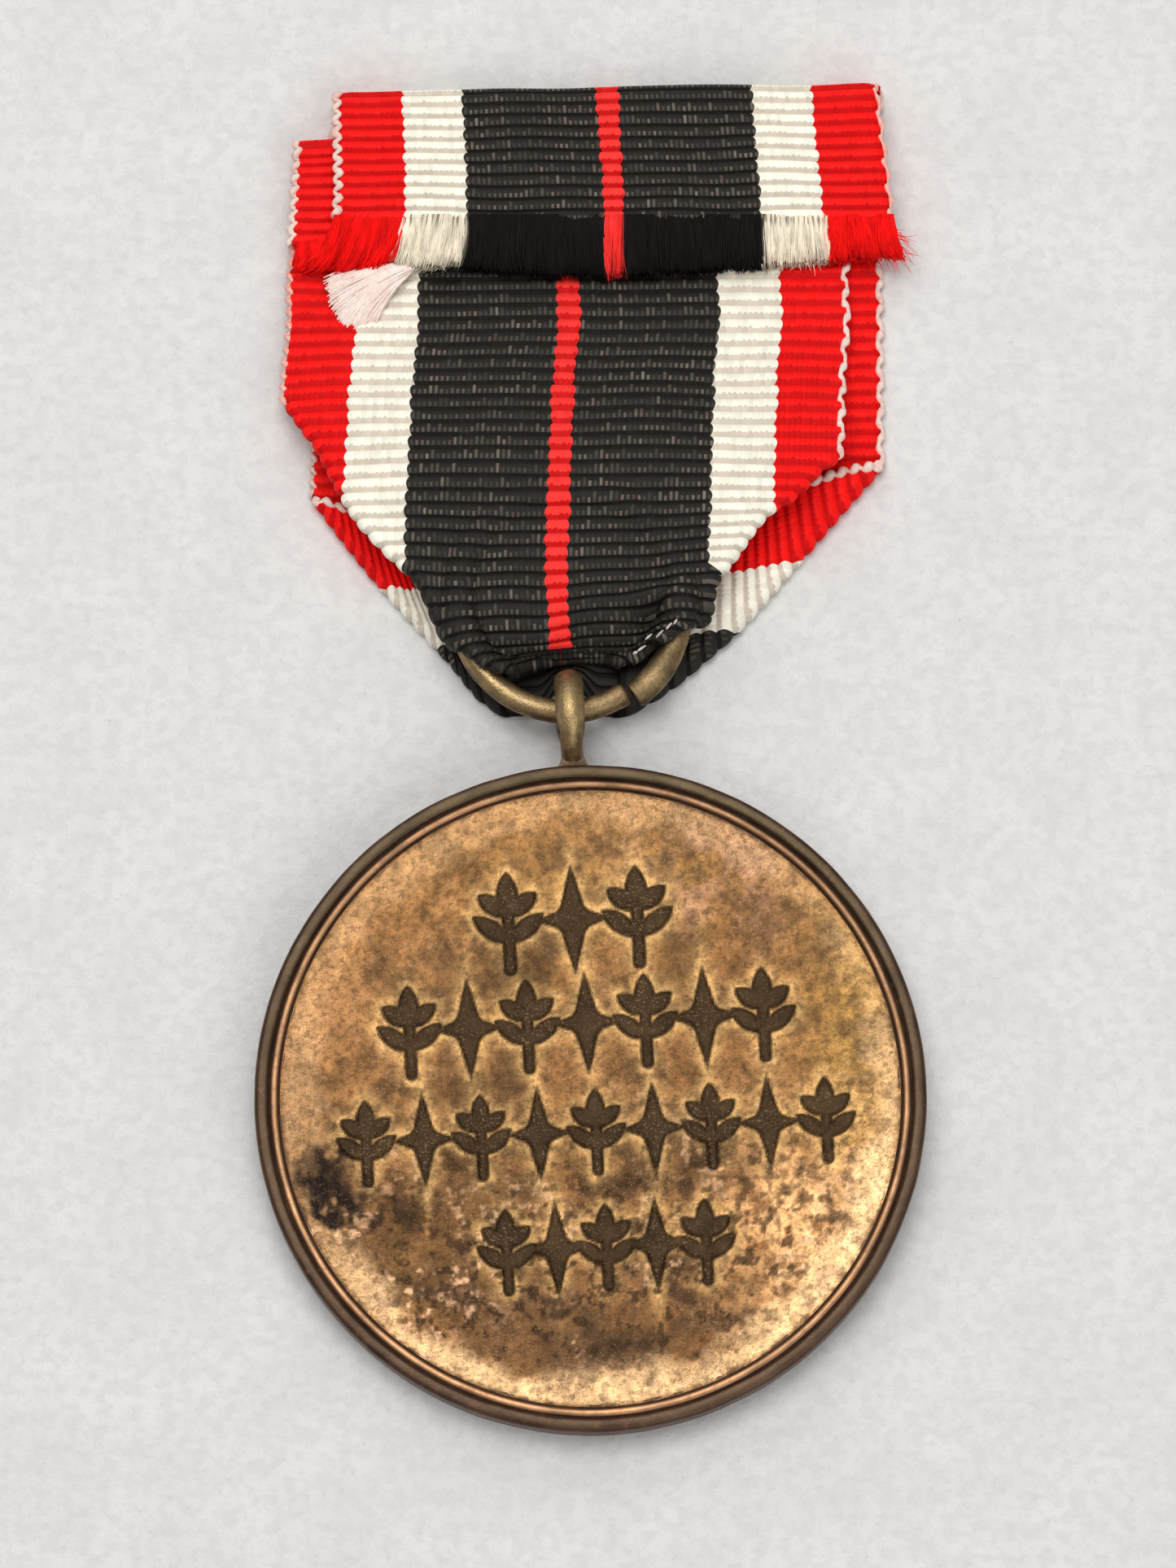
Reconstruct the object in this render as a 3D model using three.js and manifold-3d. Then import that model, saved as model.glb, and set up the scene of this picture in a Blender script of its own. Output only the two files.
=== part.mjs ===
// Service medal lying flat: a struck bronze disc with a wire eyelet soldered to its edge, a split
// suspension ring through the eyelet, and a striped ribbon folded through the ring.
// Millimetres, +Z up, ribbon towards +Y, disc towards -Y. The origin is the middle of the footprint,
// on the surface that the medal lies on.
import * as THREE from "three";
import { mergeVertices } from "three/addons/utils/BufferGeometryUtils.js";
import Module from "manifold-3d";

const DEG = Math.PI / 180;

// Disc. Its own frame has +Z through its thickness, and +Y towards the eyelet.
const DISC_RADIUS = 16.25;
const DISC_THICKNESS = 2.3;
const DISC_TURN = 3 * DEG; // the disc hangs a little askew, with its eyelet left of its middle
const FIELD_HALF = 0.8; // half thickness of the plate inside the rim
const RELIEF = 0.16; // how far the struck ornament stands above the field
const RELIEF_ROOT = 0.3; // how far each relief prism reaches into the plate that it is joined to

// Eyelet, a wire loop that stands across the disc's edge.
const EYELET_WIRE = 0.65;
const EYELET_LOOP = 1.8; // centreline radius
const EYELET_REACH = 18.74; // from the disc's centre to the loop's
const EYELET_BOTTOM = EYELET_LOOP + EYELET_WIRE;
const SOLDER_GAP = 0.12;
const SOLDER_HEIGHT = 0.62;

// Split ring.
const RING_RADIUS = 5.45; // centreline
const RING_WIRE = 0.58;
const RING_CENTRE = new THREE.Vector3(-1.05, 24.5, 2.4);
const RING_CUT_AT = -57 * DEG;
const RING_CUT = 0.35;

// Ribbon. Its layers lie on each other, counted from the surface up.
const CLOTH = 0.42;
const LAYER_GAP = 0.25;
const RIBBON_WIDTH = 28;
const FRONT_MIDDLE = 0.4; // middle of each panel's width, across X
const BACK_MIDDLE = -1;
const OUTER_HEM_MIDDLE = 0.75;
const OUTER_TOP = 51;
const OUTER_END = 44;
const INNER_TOP = 48.5;
const INNER_END = 43;
const FRINGE_END = 41.8;
const BEND_Y = 36.8; // where the ribbon's upper half bends on its lower half
const BEND_GAP = 1.2;
const SLOPE_TOP = 41; // the back panel rises between these two places, to pass over the ring
const SLOPE_FOOT = 31.5;
const OVER_RING = RING_CENTRE.z + RING_WIRE + 0.27 + CLOTH / 2;

// Places where the front panel's sides fold in, and the tip of each fold beside the ring.
const LEFT_CORNER = [-13.6, 30.2];
const RIGHT_CORNER = [14.4, 31.2];
const TIP_Y = 19.4;
const LEFT_TIP_X = -4.5;
const RIGHT_TIP_X = 3.5;
const TIP_INNER = 3.2; // half width, at the tips, of the notch that the eyelet swings in
const NOTCH_RADIUS = 2.6;

const wasm = await Module();
wasm.setup();

function finish(color, roughness, metalness) {
  return new THREE.MeshStandardMaterial({ color, roughness, metalness });
}

const bronze = () => finish(0x9a6a3a, 0.45, 0.9);
const brass = () => finish(0x8a7648, 0.4, 0.9);
const solder = () => finish(0xa8946a, 0.5, 0.85);
const blackCloth = () => finish(0x2a2826, 0.85, 0);
const redCloth = () => finish(0xd01818, 0.8, 0);
const whiteCloth = () => finish(0xf2ecdc, 0.85, 0);

// Closed mesh to manifold-3d solid, and back.
function toSolid(geometry) {
  const bare = geometry.clone();
  bare.deleteAttribute("normal");
  bare.deleteAttribute("uv");
  const merged = mergeVertices(bare, 1e-4);
  const vertProperties = new Float32Array(merged.attributes.position.array);
  const triVerts = new Uint32Array(merged.index.array);
  return new wasm.Manifold(new wasm.Mesh({ numProp: 3, vertProperties, triVerts }));
}

function toGeometry(solid) {
  const mesh = solid.getMesh();
  const geometry = new THREE.BufferGeometry();
  geometry.setAttribute("position", new THREE.BufferAttribute(mesh.vertProperties, 3));
  geometry.setIndex(new THREE.BufferAttribute(mesh.triVerts, 1));
  geometry.computeVertexNormals();
  return geometry;
}

function named(name, geometry, material) {
  const mesh = new THREE.Mesh(geometry, material);
  mesh.name = name;
  return mesh;
}

function outline(points) {
  return new THREE.Shape(points.map(([x, y]) => new THREE.Vector2(x, y)));
}

// A flat plate of an XY outline, between two heights.
function plate(shape, low, high, curveSegments = 3) {
  const geometry = new THREE.ExtrudeGeometry(shape, { depth: high - low, bevelEnabled: false, curveSegments });
  return geometry.translate(0, 0, low);
}

// A solid whose side view is an outline of [y, z] points, between two places across X.
function sideExtrusion(points, left, right) {
  const geometry = new THREE.ExtrudeGeometry(outline(points), { depth: right - left, bevelEnabled: false });
  const across = new THREE.Matrix4().makeBasis(
    new THREE.Vector3(0, 1, 0),
    new THREE.Vector3(0, 0, 1),
    new THREE.Vector3(1, 0, 0),
  );
  return geometry.applyMatrix4(across).translate(left, 0, 0);
}

// ---- Disc ----

// Half of the rim's section, from the middle of the face out to the edge: [radius, height].
const FACE_STEPS = [
  [0, FIELD_HALF],
  [14.9, FIELD_HALF],
  [15.02, FIELD_HALF - 0.06],
  [15.12, 0.98],
  [15.4, 0.98],
  [15.47, 0.9],
  [15.58, DISC_THICKNESS / 2],
  [16.1, DISC_THICKNESS / 2],
  [DISC_RADIUS, DISC_THICKNESS / 2 - 0.15],
];

function discBlank() {
  const below = FACE_STEPS.map(([radius, height]) => new THREE.Vector2(radius, -height));
  const above = FACE_STEPS.map(([radius, height]) => new THREE.Vector2(radius, height)).reverse();
  return new THREE.LatheGeometry([...below, ...above], 72).rotateX(Math.PI / 2);
}

function leaf(length, width) {
  const shape = new THREE.Shape();
  shape.moveTo(0, 0);
  shape.quadraticCurveTo(length * 0.4, width, length, 0);
  shape.quadraticCurveTo(length * 0.4, -width, 0, 0);
  return shape;
}

function star(points, outer, inner) {
  const corners = [];
  for (let i = 0; i < 2 * points; i += 1) {
    const radius = i % 2 ? inner : outer;
    const angle = Math.PI / 2 + (i * Math.PI) / points;
    corners.push([radius * Math.cos(angle), radius * Math.sin(angle)]);
  }
  return outline(corners);
}

// A relief shape, turned and placed on the +Z face.
function relief(shape, x, y, turn) {
  const root = FIELD_HALF - RELIEF_ROOT;
  return plate(shape, root, FIELD_HALF + RELIEF).rotateZ(turn).translate(x, y, 0);
}

// One upright sprig: a middle leaf, two side leaves and a short stem, a little apart.
function sprig(x, y, height) {
  const foot = y - height / 2;
  const sideFoot = foot + height * 0.34;
  return [
    relief(leaf(height * 0.6, 0.8), x, foot + height * 0.4, Math.PI / 2),
    relief(leaf(height * 0.42, 0.65), x + 0.35, sideFoot, 35 * DEG),
    relief(leaf(height * 0.42, 0.65), x - 0.35, sideFoot, 145 * DEG),
    relief(leaf(height * 0.32, 0.5), x, foot, Math.PI / 2),
  ];
}

function lozenge(x, y, height) {
  return [relief(star(4, height * 0.36, height * 0.2), x, y, 0)];
}

// Four rows of sprigs and lozenges: [middle x, middle y, row width, motifs, motif height].
const ORNAMENT_ROWS = [
  [-0.4, 8.7, 9.4, 3, 4.6],
  [0, 3.6, 20, 7, 4.2],
  [0.2, -1.7, 25, 9, 3.8],
  [0.4, -7.3, 12, 5, 3.8],
];

function rowsOfOrnament() {
  return ORNAMENT_ROWS.flatMap(([middle, y, width, motifs, height]) => {
    const pitch = width / motifs;
    const made = [];
    for (let i = 0; i < motifs; i += 1) {
      const x = middle + (i - (motifs - 1) / 2) * pitch;
      made.push(...(i % 2 ? lozenge(x, y, height) : sprig(x, y, height)));
    }
    return made;
  });
}

// The other face: two laurel branches round a plain star.
const WREATH_RADIUS = 11.2;
const WREATH_LEAVES = 11;

function wreathAndStar() {
  const made = [relief(star(5, 6, 2.6), 0, 0, 0)];
  for (const side of [-1, 1]) {
    for (let i = 0; i < WREATH_LEAVES; i += 1) {
      const angle = -Math.PI / 2 + side * (12 + i * 14) * DEG;
      const along = angle + (side * Math.PI) / 2;
      for (const row of [-1, 1]) {
        const radius = WREATH_RADIUS + row * 0.45;
        const turn = along - side * row * 24 * DEG;
        made.push(relief(leaf(2.7, 0.85), radius * Math.cos(angle), radius * Math.sin(angle), turn));
      }
    }
  }
  return made.map((geometry) => geometry.rotateY(Math.PI));
}

function medalDisc() {
  const pieces = [...rowsOfOrnament(), ...wreathAndStar()];
  const struck = pieces.reduce((disc, piece) => disc.add(toSolid(piece)), toSolid(discBlank()));
  return named("medal_disc", toGeometry(struck), bronze());
}

// ---- Eyelet and its solder ----

function solderBlock(grow) {
  const half = EYELET_WIRE * 0.95 + grow;
  const foot = DISC_RADIUS + SOLDER_GAP - grow;
  const head = DISC_RADIUS + SOLDER_GAP + SOLDER_HEIGHT + grow;
  const section = outline([
    [-half - 0.2, foot],
    [half + 0.2, foot],
    [half, head],
    [-half, head],
  ]);
  return plate(section, -1 - grow, 1 + grow);
}

function eyeletLoop() {
  const loop = new THREE.TorusGeometry(EYELET_LOOP, EYELET_WIRE, 10, 36);
  loop.rotateY(Math.PI / 2).translate(0, EYELET_REACH, 0);
  const cut = toSolid(loop).subtract(toSolid(solderBlock(SOLDER_GAP)));
  return named("eyelet_loop", toGeometry(largest(cut)), brass());
}

function eyeletSolder() {
  return named("eyelet_solder", solderBlock(0), solder());
}

// The largest of the separate bodies that a cut leaves.
function largest(solid) {
  return solid.decompose().sort((a, b) => b.volume() - a.volume())[0];
}

// ---- Suspension ring ----

class CutCircle extends THREE.Curve {
  getPoint(t, target = new THREE.Vector3()) {
    const half = RING_CUT / RING_RADIUS / 2;
    const angle = RING_CUT_AT + half + t * (2 * Math.PI - 2 * half);
    return target.set(RING_RADIUS * Math.cos(angle), RING_RADIUS * Math.sin(angle), 0);
  }
}

function suspensionRing() {
  const wire = new THREE.Shape().absarc(0, 0, RING_WIRE, 0, 2 * Math.PI);
  const geometry = new THREE.ExtrudeGeometry(wire, {
    extrudePath: new CutCircle(),
    steps: 48,
    curveSegments: 10,
  });
  geometry.translate(RING_CENTRE.x, RING_CENTRE.y, RING_CENTRE.z);
  return named("suspension_ring", geometry, brass());
}

// ---- Ribbon ----

function layer(index) {
  return CLOTH / 2 + index * (CLOTH + LAYER_GAP);
}

// Height of the back panel's middle plane, as it climbs from the hem to pass over the ring.
function backHeight(y) {
  const share = THREE.MathUtils.smoothstep(-y, -SLOPE_TOP, -SLOPE_FOOT);
  return THREE.MathUtils.lerp(layer(1), OVER_RING, share);
}

function backRun(from, to, steps) {
  return Array.from({ length: steps + 1 }, (_, i) => {
    const y = THREE.MathUtils.lerp(from, to, i / steps);
    return [y, backHeight(y)];
  });
}

function halfTurn(y, low, high, side, steps = 10) {
  const radius = (high - low) / 2;
  return Array.from({ length: steps + 1 }, (_, i) => {
    const angle = Math.PI / 2 - (i * Math.PI) / steps;
    return [y + side * radius * Math.cos(angle), (low + high) / 2 + radius * Math.sin(angle)];
  });
}

// The closed outline of cloth that follows a centreline of [y, z] points.
function clothOutline(centreline) {
  const left = [];
  const right = [];
  centreline.forEach(([y, z], i) => {
    const before = centreline[Math.max(i - 1, 0)];
    const after = centreline[Math.min(i + 1, centreline.length - 1)];
    const run = Math.hypot(after[0] - before[0], after[1] - before[1]);
    const offsetY = (-(after[1] - before[1]) / run) * (CLOTH / 2);
    const offsetZ = ((after[0] - before[0]) / run) * (CLOTH / 2);
    left.push([y + offsetY, z + offsetZ]);
    right.push([y - offsetY, z - offsetZ]);
  });
  return [...left, ...right.reverse()];
}

function ribbonStrip(centreline, middle, width = RIBBON_WIDTH) {
  return sideExtrusion(clothOutline(centreline), middle - width / 2, middle + width / 2);
}

function outerFold() {
  const turnY = OUTER_TOP - (layer(3) - layer(0)) / 2 - CLOTH / 2;
  const centreline = [
    [OUTER_END, layer(3)],
    ...halfTurn(turnY, layer(0), layer(3), 1),
    [BEND_Y + BEND_GAP / 2, layer(0)],
  ];
  return named("ribbon_outer_fold", ribbonStrip(centreline, OUTER_HEM_MIDDLE), redCloth());
}

function innerFold() {
  const turnY = INNER_TOP - (layer(2) - layer(1)) / 2 - CLOTH / 2;
  const centreline = [
    [INNER_END, layer(2)],
    ...halfTurn(turnY, layer(1), layer(2), 1),
    ...backRun(SLOPE_TOP, BEND_Y + BEND_GAP / 2, 6),
  ];
  return named("ribbon_inner_fold", ribbonStrip(centreline, BACK_MIDDLE), redCloth());
}

// Frayed ends of both hems: warp threads that have lost their weft.
function fringe(name, index, hemEnd, middle) {
  const centreline = [
    [hemEnd - SOLDER_GAP, layer(index)],
    [FRINGE_END, layer(index) - LAYER_GAP / 3],
  ];
  return named(name, ribbonStrip(centreline, middle), redCloth());
}

function fibreTuft() {
  const shape = new THREE.Shape();
  shape.moveTo(-8.6, 41.4);
  shape.quadraticCurveTo(-11.4, 41.6, -13, 40.6);
  shape.quadraticCurveTo(-12.6, 39.2, -11, 38.9);
  shape.quadraticCurveTo(-9.2, 40, -8.6, 41.4);
  const low = layer(1) + CLOTH / 2 + 2 * LAYER_GAP;
  return named("fibre_tuft", plate(shape, low, low + CLOTH), whiteCloth());
}

function frontPanel() {
  const left = FRONT_MIDDLE - RIBBON_WIDTH / 2;
  const right = FRONT_MIDDLE + RIBBON_WIDTH / 2;
  const top = BEND_Y - BEND_GAP / 2;
  const x = RING_CENTRE.x;
  const notchY = RING_CENTRE.y - NOTCH_RADIUS;
  const shape = outline([
    [left, top],
    LEFT_CORNER,
    [LEFT_TIP_X, TIP_Y],
    [x - TIP_INNER, TIP_Y],
    [x - NOTCH_RADIUS / 2, notchY],
    [x + NOTCH_RADIUS / 2, notchY],
    [x + TIP_INNER, TIP_Y],
    [RIGHT_TIP_X, TIP_Y],
    RIGHT_CORNER,
    [right, top],
  ]);
  return named("ribbon_front_panel", plate(shape, 0, CLOTH), redCloth());
}

// The front panel's side, folded in over it: the panel's own side turned over on the fold line.
function sideFlap(name, corner, tipX, innerX, selvedgeDrop) {
  const inward = Math.sign(innerX - corner[0]);
  const slope = (corner[1] - TIP_Y) / (tipX - corner[0]);
  const foldAt = (x) => corner[1] - slope * (x - corner[0]);
  const shape = outline([
    [corner[0] + inward * 0.3, corner[1] - 0.2],
    [innerX, corner[1] - selvedgeDrop],
    [innerX, foldAt(innerX) + 0.1],
  ]);
  return named(name, plate(shape, layer(1) - CLOTH / 2, layer(1) + CLOTH / 2), redCloth());
}

// The fold inside the ring, where the front panel turns up to become the back panel.
const TURN_HALF = 3.55;
const TURN_LOW = layer(1);
const TURN_HIGH = OVER_RING - CLOTH - LAYER_GAP;

function ringTurn() {
  const turnY = RING_CENTRE.y - 2.55 + (TURN_HIGH - TURN_LOW) / 2 + CLOTH / 2;
  const reach = turnY + 2.2;
  const centreline = [
    [reach, TURN_HIGH],
    ...halfTurn(turnY, TURN_LOW, TURN_HIGH, -1),
    [reach, TURN_LOW],
  ];
  const strip = ribbonStrip(centreline, RING_CENTRE.x, 2 * TURN_HALF);
  return named("ribbon_ring_turn", strip, blackCloth());
}

// Outline of the back panel below the bend, gathered towards the ring.
const BACK_OUTLINE = [
  [-15, 36.2],
  [-15, 34.4],
  [-13.6, 32.4],
  [-12, 28.6],
  [-9, 25.3],
  [-7.2, 22.5],
  [-5.2, 21.2],
  [-4, 21.2],
  [-2.6, 21.95],
  [0.5, 21.95],
  [1.9, 21.2],
  [3, 22],
  [5.8, 23.3],
  [7.2, 24.3],
  [9, 27.6],
  [10.8, 30.2],
  [13, 32],
  [13, 36.2],
];

function backPanel() {
  const top = BEND_Y - BEND_GAP / 2;
  const centreline = [...backRun(top, SLOPE_FOOT, 8), [20, OVER_RING]];
  const sloped = toSolid(ribbonStrip(centreline, BACK_MIDDLE, RIBBON_WIDTH + 4));
  const cutter = toSolid(plate(outline(BACK_OUTLINE), -1, 8));
  return named("ribbon_back_panel", toGeometry(sloped.intersect(cutter)), blackCloth());
}

// ---- Assembly ----

// The disc lies on its far edge and on the eyelet's lower side, so it tilts up towards the eyelet.
const DISC_TILT = Math.asin((EYELET_BOTTOM - DISC_THICKNESS / 2) / (DISC_RADIUS + EYELET_REACH));

const disc = new THREE.Group();
disc.add(medalDisc(), eyeletLoop(), eyeletSolder());
disc.rotation.set(DISC_TILT, 0, DISC_TURN);
disc.position.z = EYELET_BOTTOM - EYELET_REACH * Math.sin(DISC_TILT);

const ribbon = new THREE.Group();
ribbon.add(
  outerFold(),
  innerFold(),
  fringe("outer_fringe", 3, OUTER_END, OUTER_HEM_MIDDLE),
  fringe("inner_fringe", 2, INNER_END, BACK_MIDDLE),
  fibreTuft(),
  frontPanel(),
  sideFlap("ribbon_left_flap", LEFT_CORNER, LEFT_TIP_X, RING_CENTRE.x - TURN_HALF - 0.3, 1.6),
  sideFlap("ribbon_right_flap", RIGHT_CORNER, RIGHT_TIP_X, RING_CENTRE.x + TURN_HALF + 0.3, 0.9),
  ringTurn(),
  backPanel(),
);

const medal = new THREE.Group();
medal.add(disc, suspensionRing(), ribbon);
medal.updateMatrixWorld(true);

// The origin goes to the middle of the footprint, at its lowest point.
const extent = new THREE.Box3().setFromObject(medal, true);
const centre = extent.getCenter(new THREE.Vector3());
medal.position.set(-centre.x, -centre.y, -extent.min.z);

export default medal;
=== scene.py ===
"""A struck bronze medal with its wire eyelet and split ring on a folded grosgrain ribbon, lying on pale paper.

Points are worked out in millimetres about the middle of the disc, with Z up from the surface it lies on,
+Y towards the ribbon's hem, and are moved into the row frame when a mesh is made.
"""

from math import asin, cos, hypot, pi, radians, sin

import bpy
import numpy as np
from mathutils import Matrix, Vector


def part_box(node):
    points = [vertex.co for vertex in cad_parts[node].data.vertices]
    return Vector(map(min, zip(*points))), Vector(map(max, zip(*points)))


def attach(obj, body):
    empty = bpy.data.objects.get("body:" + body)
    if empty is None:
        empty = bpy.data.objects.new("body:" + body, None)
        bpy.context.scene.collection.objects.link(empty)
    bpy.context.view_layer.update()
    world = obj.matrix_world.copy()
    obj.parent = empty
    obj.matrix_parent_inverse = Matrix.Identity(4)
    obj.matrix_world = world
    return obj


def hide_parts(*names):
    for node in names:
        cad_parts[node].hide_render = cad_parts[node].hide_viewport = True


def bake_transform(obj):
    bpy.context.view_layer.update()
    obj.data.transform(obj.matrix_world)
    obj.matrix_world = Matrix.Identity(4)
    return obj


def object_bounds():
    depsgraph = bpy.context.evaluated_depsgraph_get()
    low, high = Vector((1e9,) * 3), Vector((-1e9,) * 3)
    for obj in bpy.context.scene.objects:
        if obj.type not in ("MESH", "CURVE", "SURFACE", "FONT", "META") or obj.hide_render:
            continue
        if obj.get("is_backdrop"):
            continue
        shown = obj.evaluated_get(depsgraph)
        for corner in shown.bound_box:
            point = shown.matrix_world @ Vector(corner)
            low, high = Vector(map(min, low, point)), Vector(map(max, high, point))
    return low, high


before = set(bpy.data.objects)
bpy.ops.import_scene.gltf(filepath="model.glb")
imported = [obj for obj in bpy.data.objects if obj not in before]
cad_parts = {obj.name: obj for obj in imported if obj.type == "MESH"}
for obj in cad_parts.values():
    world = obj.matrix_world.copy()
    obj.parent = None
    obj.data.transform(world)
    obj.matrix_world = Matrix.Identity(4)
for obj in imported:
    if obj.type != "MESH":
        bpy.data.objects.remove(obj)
CAD_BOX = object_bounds()

MM = 0.001
_disc_low, _disc_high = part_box("medal_disc")
DISC_Y = (_disc_low.y + _disc_high.y) / 2 / MM  # the disc's middle in the row frame, mm


# ---- Numbers ----


def smoothstep(low, high, x):
    t = np.clip((x - low) / (high - low), 0, 1)
    return t * t * (3 - 2 * t)


def through(x, points):
    """A smooth curve through (x, y) points, which doesn't overshoot them."""
    xs, ys = np.array(points, float).T
    slope = np.diff(ys) / np.diff(xs)
    tangent = np.zeros(len(xs))
    tangent[0], tangent[-1] = slope[0], slope[-1]
    for i in range(1, len(xs) - 1):
        if slope[i - 1] * slope[i] > 0:
            tangent[i] = 2 * slope[i - 1] * slope[i] / (slope[i - 1] + slope[i])
    x = np.clip(np.asarray(x, float), xs[0], xs[-1])
    i = np.clip(np.searchsorted(xs, x) - 1, 0, len(xs) - 2)
    h = xs[i + 1] - xs[i]
    t = (x - xs[i]) / h
    return (
        (1 + 2 * t) * (1 - t) ** 2 * ys[i]
        + t * (1 - t) ** 2 * h * tangent[i]
        + t * t * (3 - 2 * t) * ys[i + 1]
        - t * t * (1 - t) * h * tangent[i + 1]
    )


def waves(x, y, seed, scale=1.0):
    """Smooth noise of about -1 to 1, as a sum of slanting waves."""
    r = np.random.default_rng(seed)
    total = 0
    for _ in range(7):
        angle, phase = r.random(2) * 2 * pi
        k = 2 * pi * (0.6 + 0.9 * r.random()) / scale
        total = total + np.sin(k * (x * cos(angle) + y * sin(angle)) + phase)
    return total / 3.2  # seven waves add up to about this much


def cells(x, y, seed, scale):
    """Value noise of 0 to 1 on a grid of that scale."""
    table = np.random.default_rng(seed).random((256, 256))
    gx, gy = x / scale + 1000, y / scale + 1000
    ix, iy = np.floor(gx).astype(int), np.floor(gy).astype(int)
    fx, fy = gx - ix, gy - iy
    fx, fy = fx * fx * (3 - 2 * fx), fy * fy * (3 - 2 * fy)
    at = lambda a, b: table[a % 256, b % 256]
    low = at(ix, iy) * (1 - fx) + at(ix + 1, iy) * fx
    high = at(ix, iy + 1) * (1 - fx) + at(ix + 1, iy + 1) * fx
    return low * (1 - fy) + high * fy


def cloudy(x, y, seed, scale, octaves=4):
    """Fractal noise of 0 to 1."""
    total, weight = 0, 0
    for i in range(octaves):
        total = total + cells(x, y, seed + i, scale / 2**i) * 0.55**i
        weight += 0.55**i
    return total / weight


def unit(a):
    return a / np.maximum(np.linalg.norm(a, axis=-1, keepdims=True), 1e-9)


def bell(x, at, width, power=2):
    """A smooth hump of height 1, flatter on top with a higher power."""
    return np.exp(-(((x - at) / width) ** power))


def running(steps):
    """The sum of the steps before each point of a line, from 0."""
    return np.concatenate([[0], np.cumsum(steps)])


def circle(count):
    """Evenly spaced angles, once round."""
    return np.arange(count) / count * 2 * pi


def toward(colours, target, amount):
    """Colours moved towards a target by an amount of 0 to 1 at each point."""
    return colours + (np.asarray(target) - colours) * np.asarray(amount)[..., None]


# ---- Meshes ----

UV_SCALE = 100  # millimetres of cloth to one unit of the texture map


def piece(name, points, faces, material, uv=None, values=None):
    """A mesh piece from points in mm about the disc's middle. values holds point attributes."""
    points = np.asarray(points, float).reshape(-1, 3)
    faces = np.asarray(faces, np.int32)
    mesh = bpy.data.meshes.new(name)
    mesh.vertices.add(len(points))
    mesh.vertices.foreach_set("co", ((points + [0, DISC_Y, 0]) * MM).astype(np.float32).ravel())
    mesh.loops.add(faces.size)
    mesh.loops.foreach_set("vertex_index", faces.ravel())
    mesh.polygons.add(len(faces))
    mesh.polygons.foreach_set("loop_start", np.arange(0, faces.size, faces.shape[1], dtype=np.int32))
    mesh.update(calc_edges=True)
    mesh.polygons.foreach_set("use_smooth", np.full(len(faces), True))
    if uv is not None:
        layer = mesh.uv_layers.new(name="cloth")
        layer.data.foreach_set(
            "uv", (np.asarray(uv, float)[faces.ravel()] / UV_SCALE).astype(np.float32).ravel(),
        )
    for key, value in (values or {}).items():
        value = np.asarray(value, float)
        if value.ndim == 2:
            attribute = mesh.attributes.new(key, "FLOAT_COLOR", "POINT")
            full = np.concatenate([value, np.ones((len(value), 1))], axis=1)
            attribute.data.foreach_set("color", full.astype(np.float32).ravel())
        else:
            attribute = mesh.attributes.new(key, "FLOAT", "POINT")
            attribute.data.foreach_set("value", value.astype(np.float32))
    mesh.materials.append(material)
    obj = bpy.data.objects.new(name, mesh)
    bpy.context.scene.collection.objects.link(obj)
    return obj


def grid_faces(rows, cols, wrap=False):
    i = np.arange(rows * cols).reshape(rows, cols)
    right = np.roll(i, -1, axis=1) if wrap else i[:, 1:]
    left = i if wrap else i[:, :-1]
    return np.stack([left[:-1], right[:-1], right[1:], left[1:]], -1).reshape(-1, 4)


def slab_faces(rows, cols):
    """Faces of a closed slab: an upper grid, then a lower grid of the same size, joined at the edges."""
    i, n = np.arange(rows * cols).reshape(rows, cols), rows * cols
    upper = grid_faces(rows, cols)
    border = np.concatenate([i[0], i[1:, -1], i[-1, -2::-1], i[-2:0:-1, 0]])
    after = np.roll(border, -1)
    sides = np.stack([after, border, border + n, after + n], -1)
    return np.concatenate([upper, upper[:, ::-1] + n, sides])


def slab(mid, half, normal):
    """A slab's upper and lower points, half its thickness each side of a middle surface."""
    return np.concatenate([(mid + half * normal).reshape(-1, 3), (mid - half * normal).reshape(-1, 3)])


def sections(centre, side, wide, up, high, sides):
    """Oval sections about a line of points: wide along side, and high along up."""
    a = circle(sides)[None, :, None]
    side, up = (np.broadcast_to(axis, centre.shape)[:, None] for axis in (side, up))
    return centre[:, None] + wide[:, None, None] * np.cos(a) * side + high[:, None, None] * np.sin(a) * up


def cap(start, sides, hub):
    """Faces that close a section of that many points with a middle point."""
    return [[start + i, start + (i + 1) % sides, start + (i + 2) % sides, hub] for i in range(0, sides, 2)]


def tubes(lines, radii, sides, flat=1.0):
    """Round threads along lines: points, faces, and each point's line number and share of the way along."""
    points, faces, owner, along = [], [], [], []
    base = 0
    for number, (line, radius) in enumerate(zip(lines, radii)):
        line = np.asarray(line, float)
        n = len(line)
        radius = np.broadcast_to(np.asarray(radius, float), n)
        tangent = unit(np.gradient(line, axis=0))
        side = unit(np.cross(tangent, [0.3, 0.2, 0.93]))  # an axis that no thread here runs along
        tube = sections(line, side, radius, np.cross(side, tangent), radius * flat, sides)
        points.append(tube.reshape(-1, 3))
        faces.append(grid_faces(n, sides, wrap=True) + base)
        owner.append(np.full(n * sides, number))
        along.append(np.repeat(np.linspace(0, 1, n), sides))
        base += n * sides
    return np.concatenate(points), np.concatenate(faces), np.concatenate(owner), np.concatenate(along)


# ---- Materials ----


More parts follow.
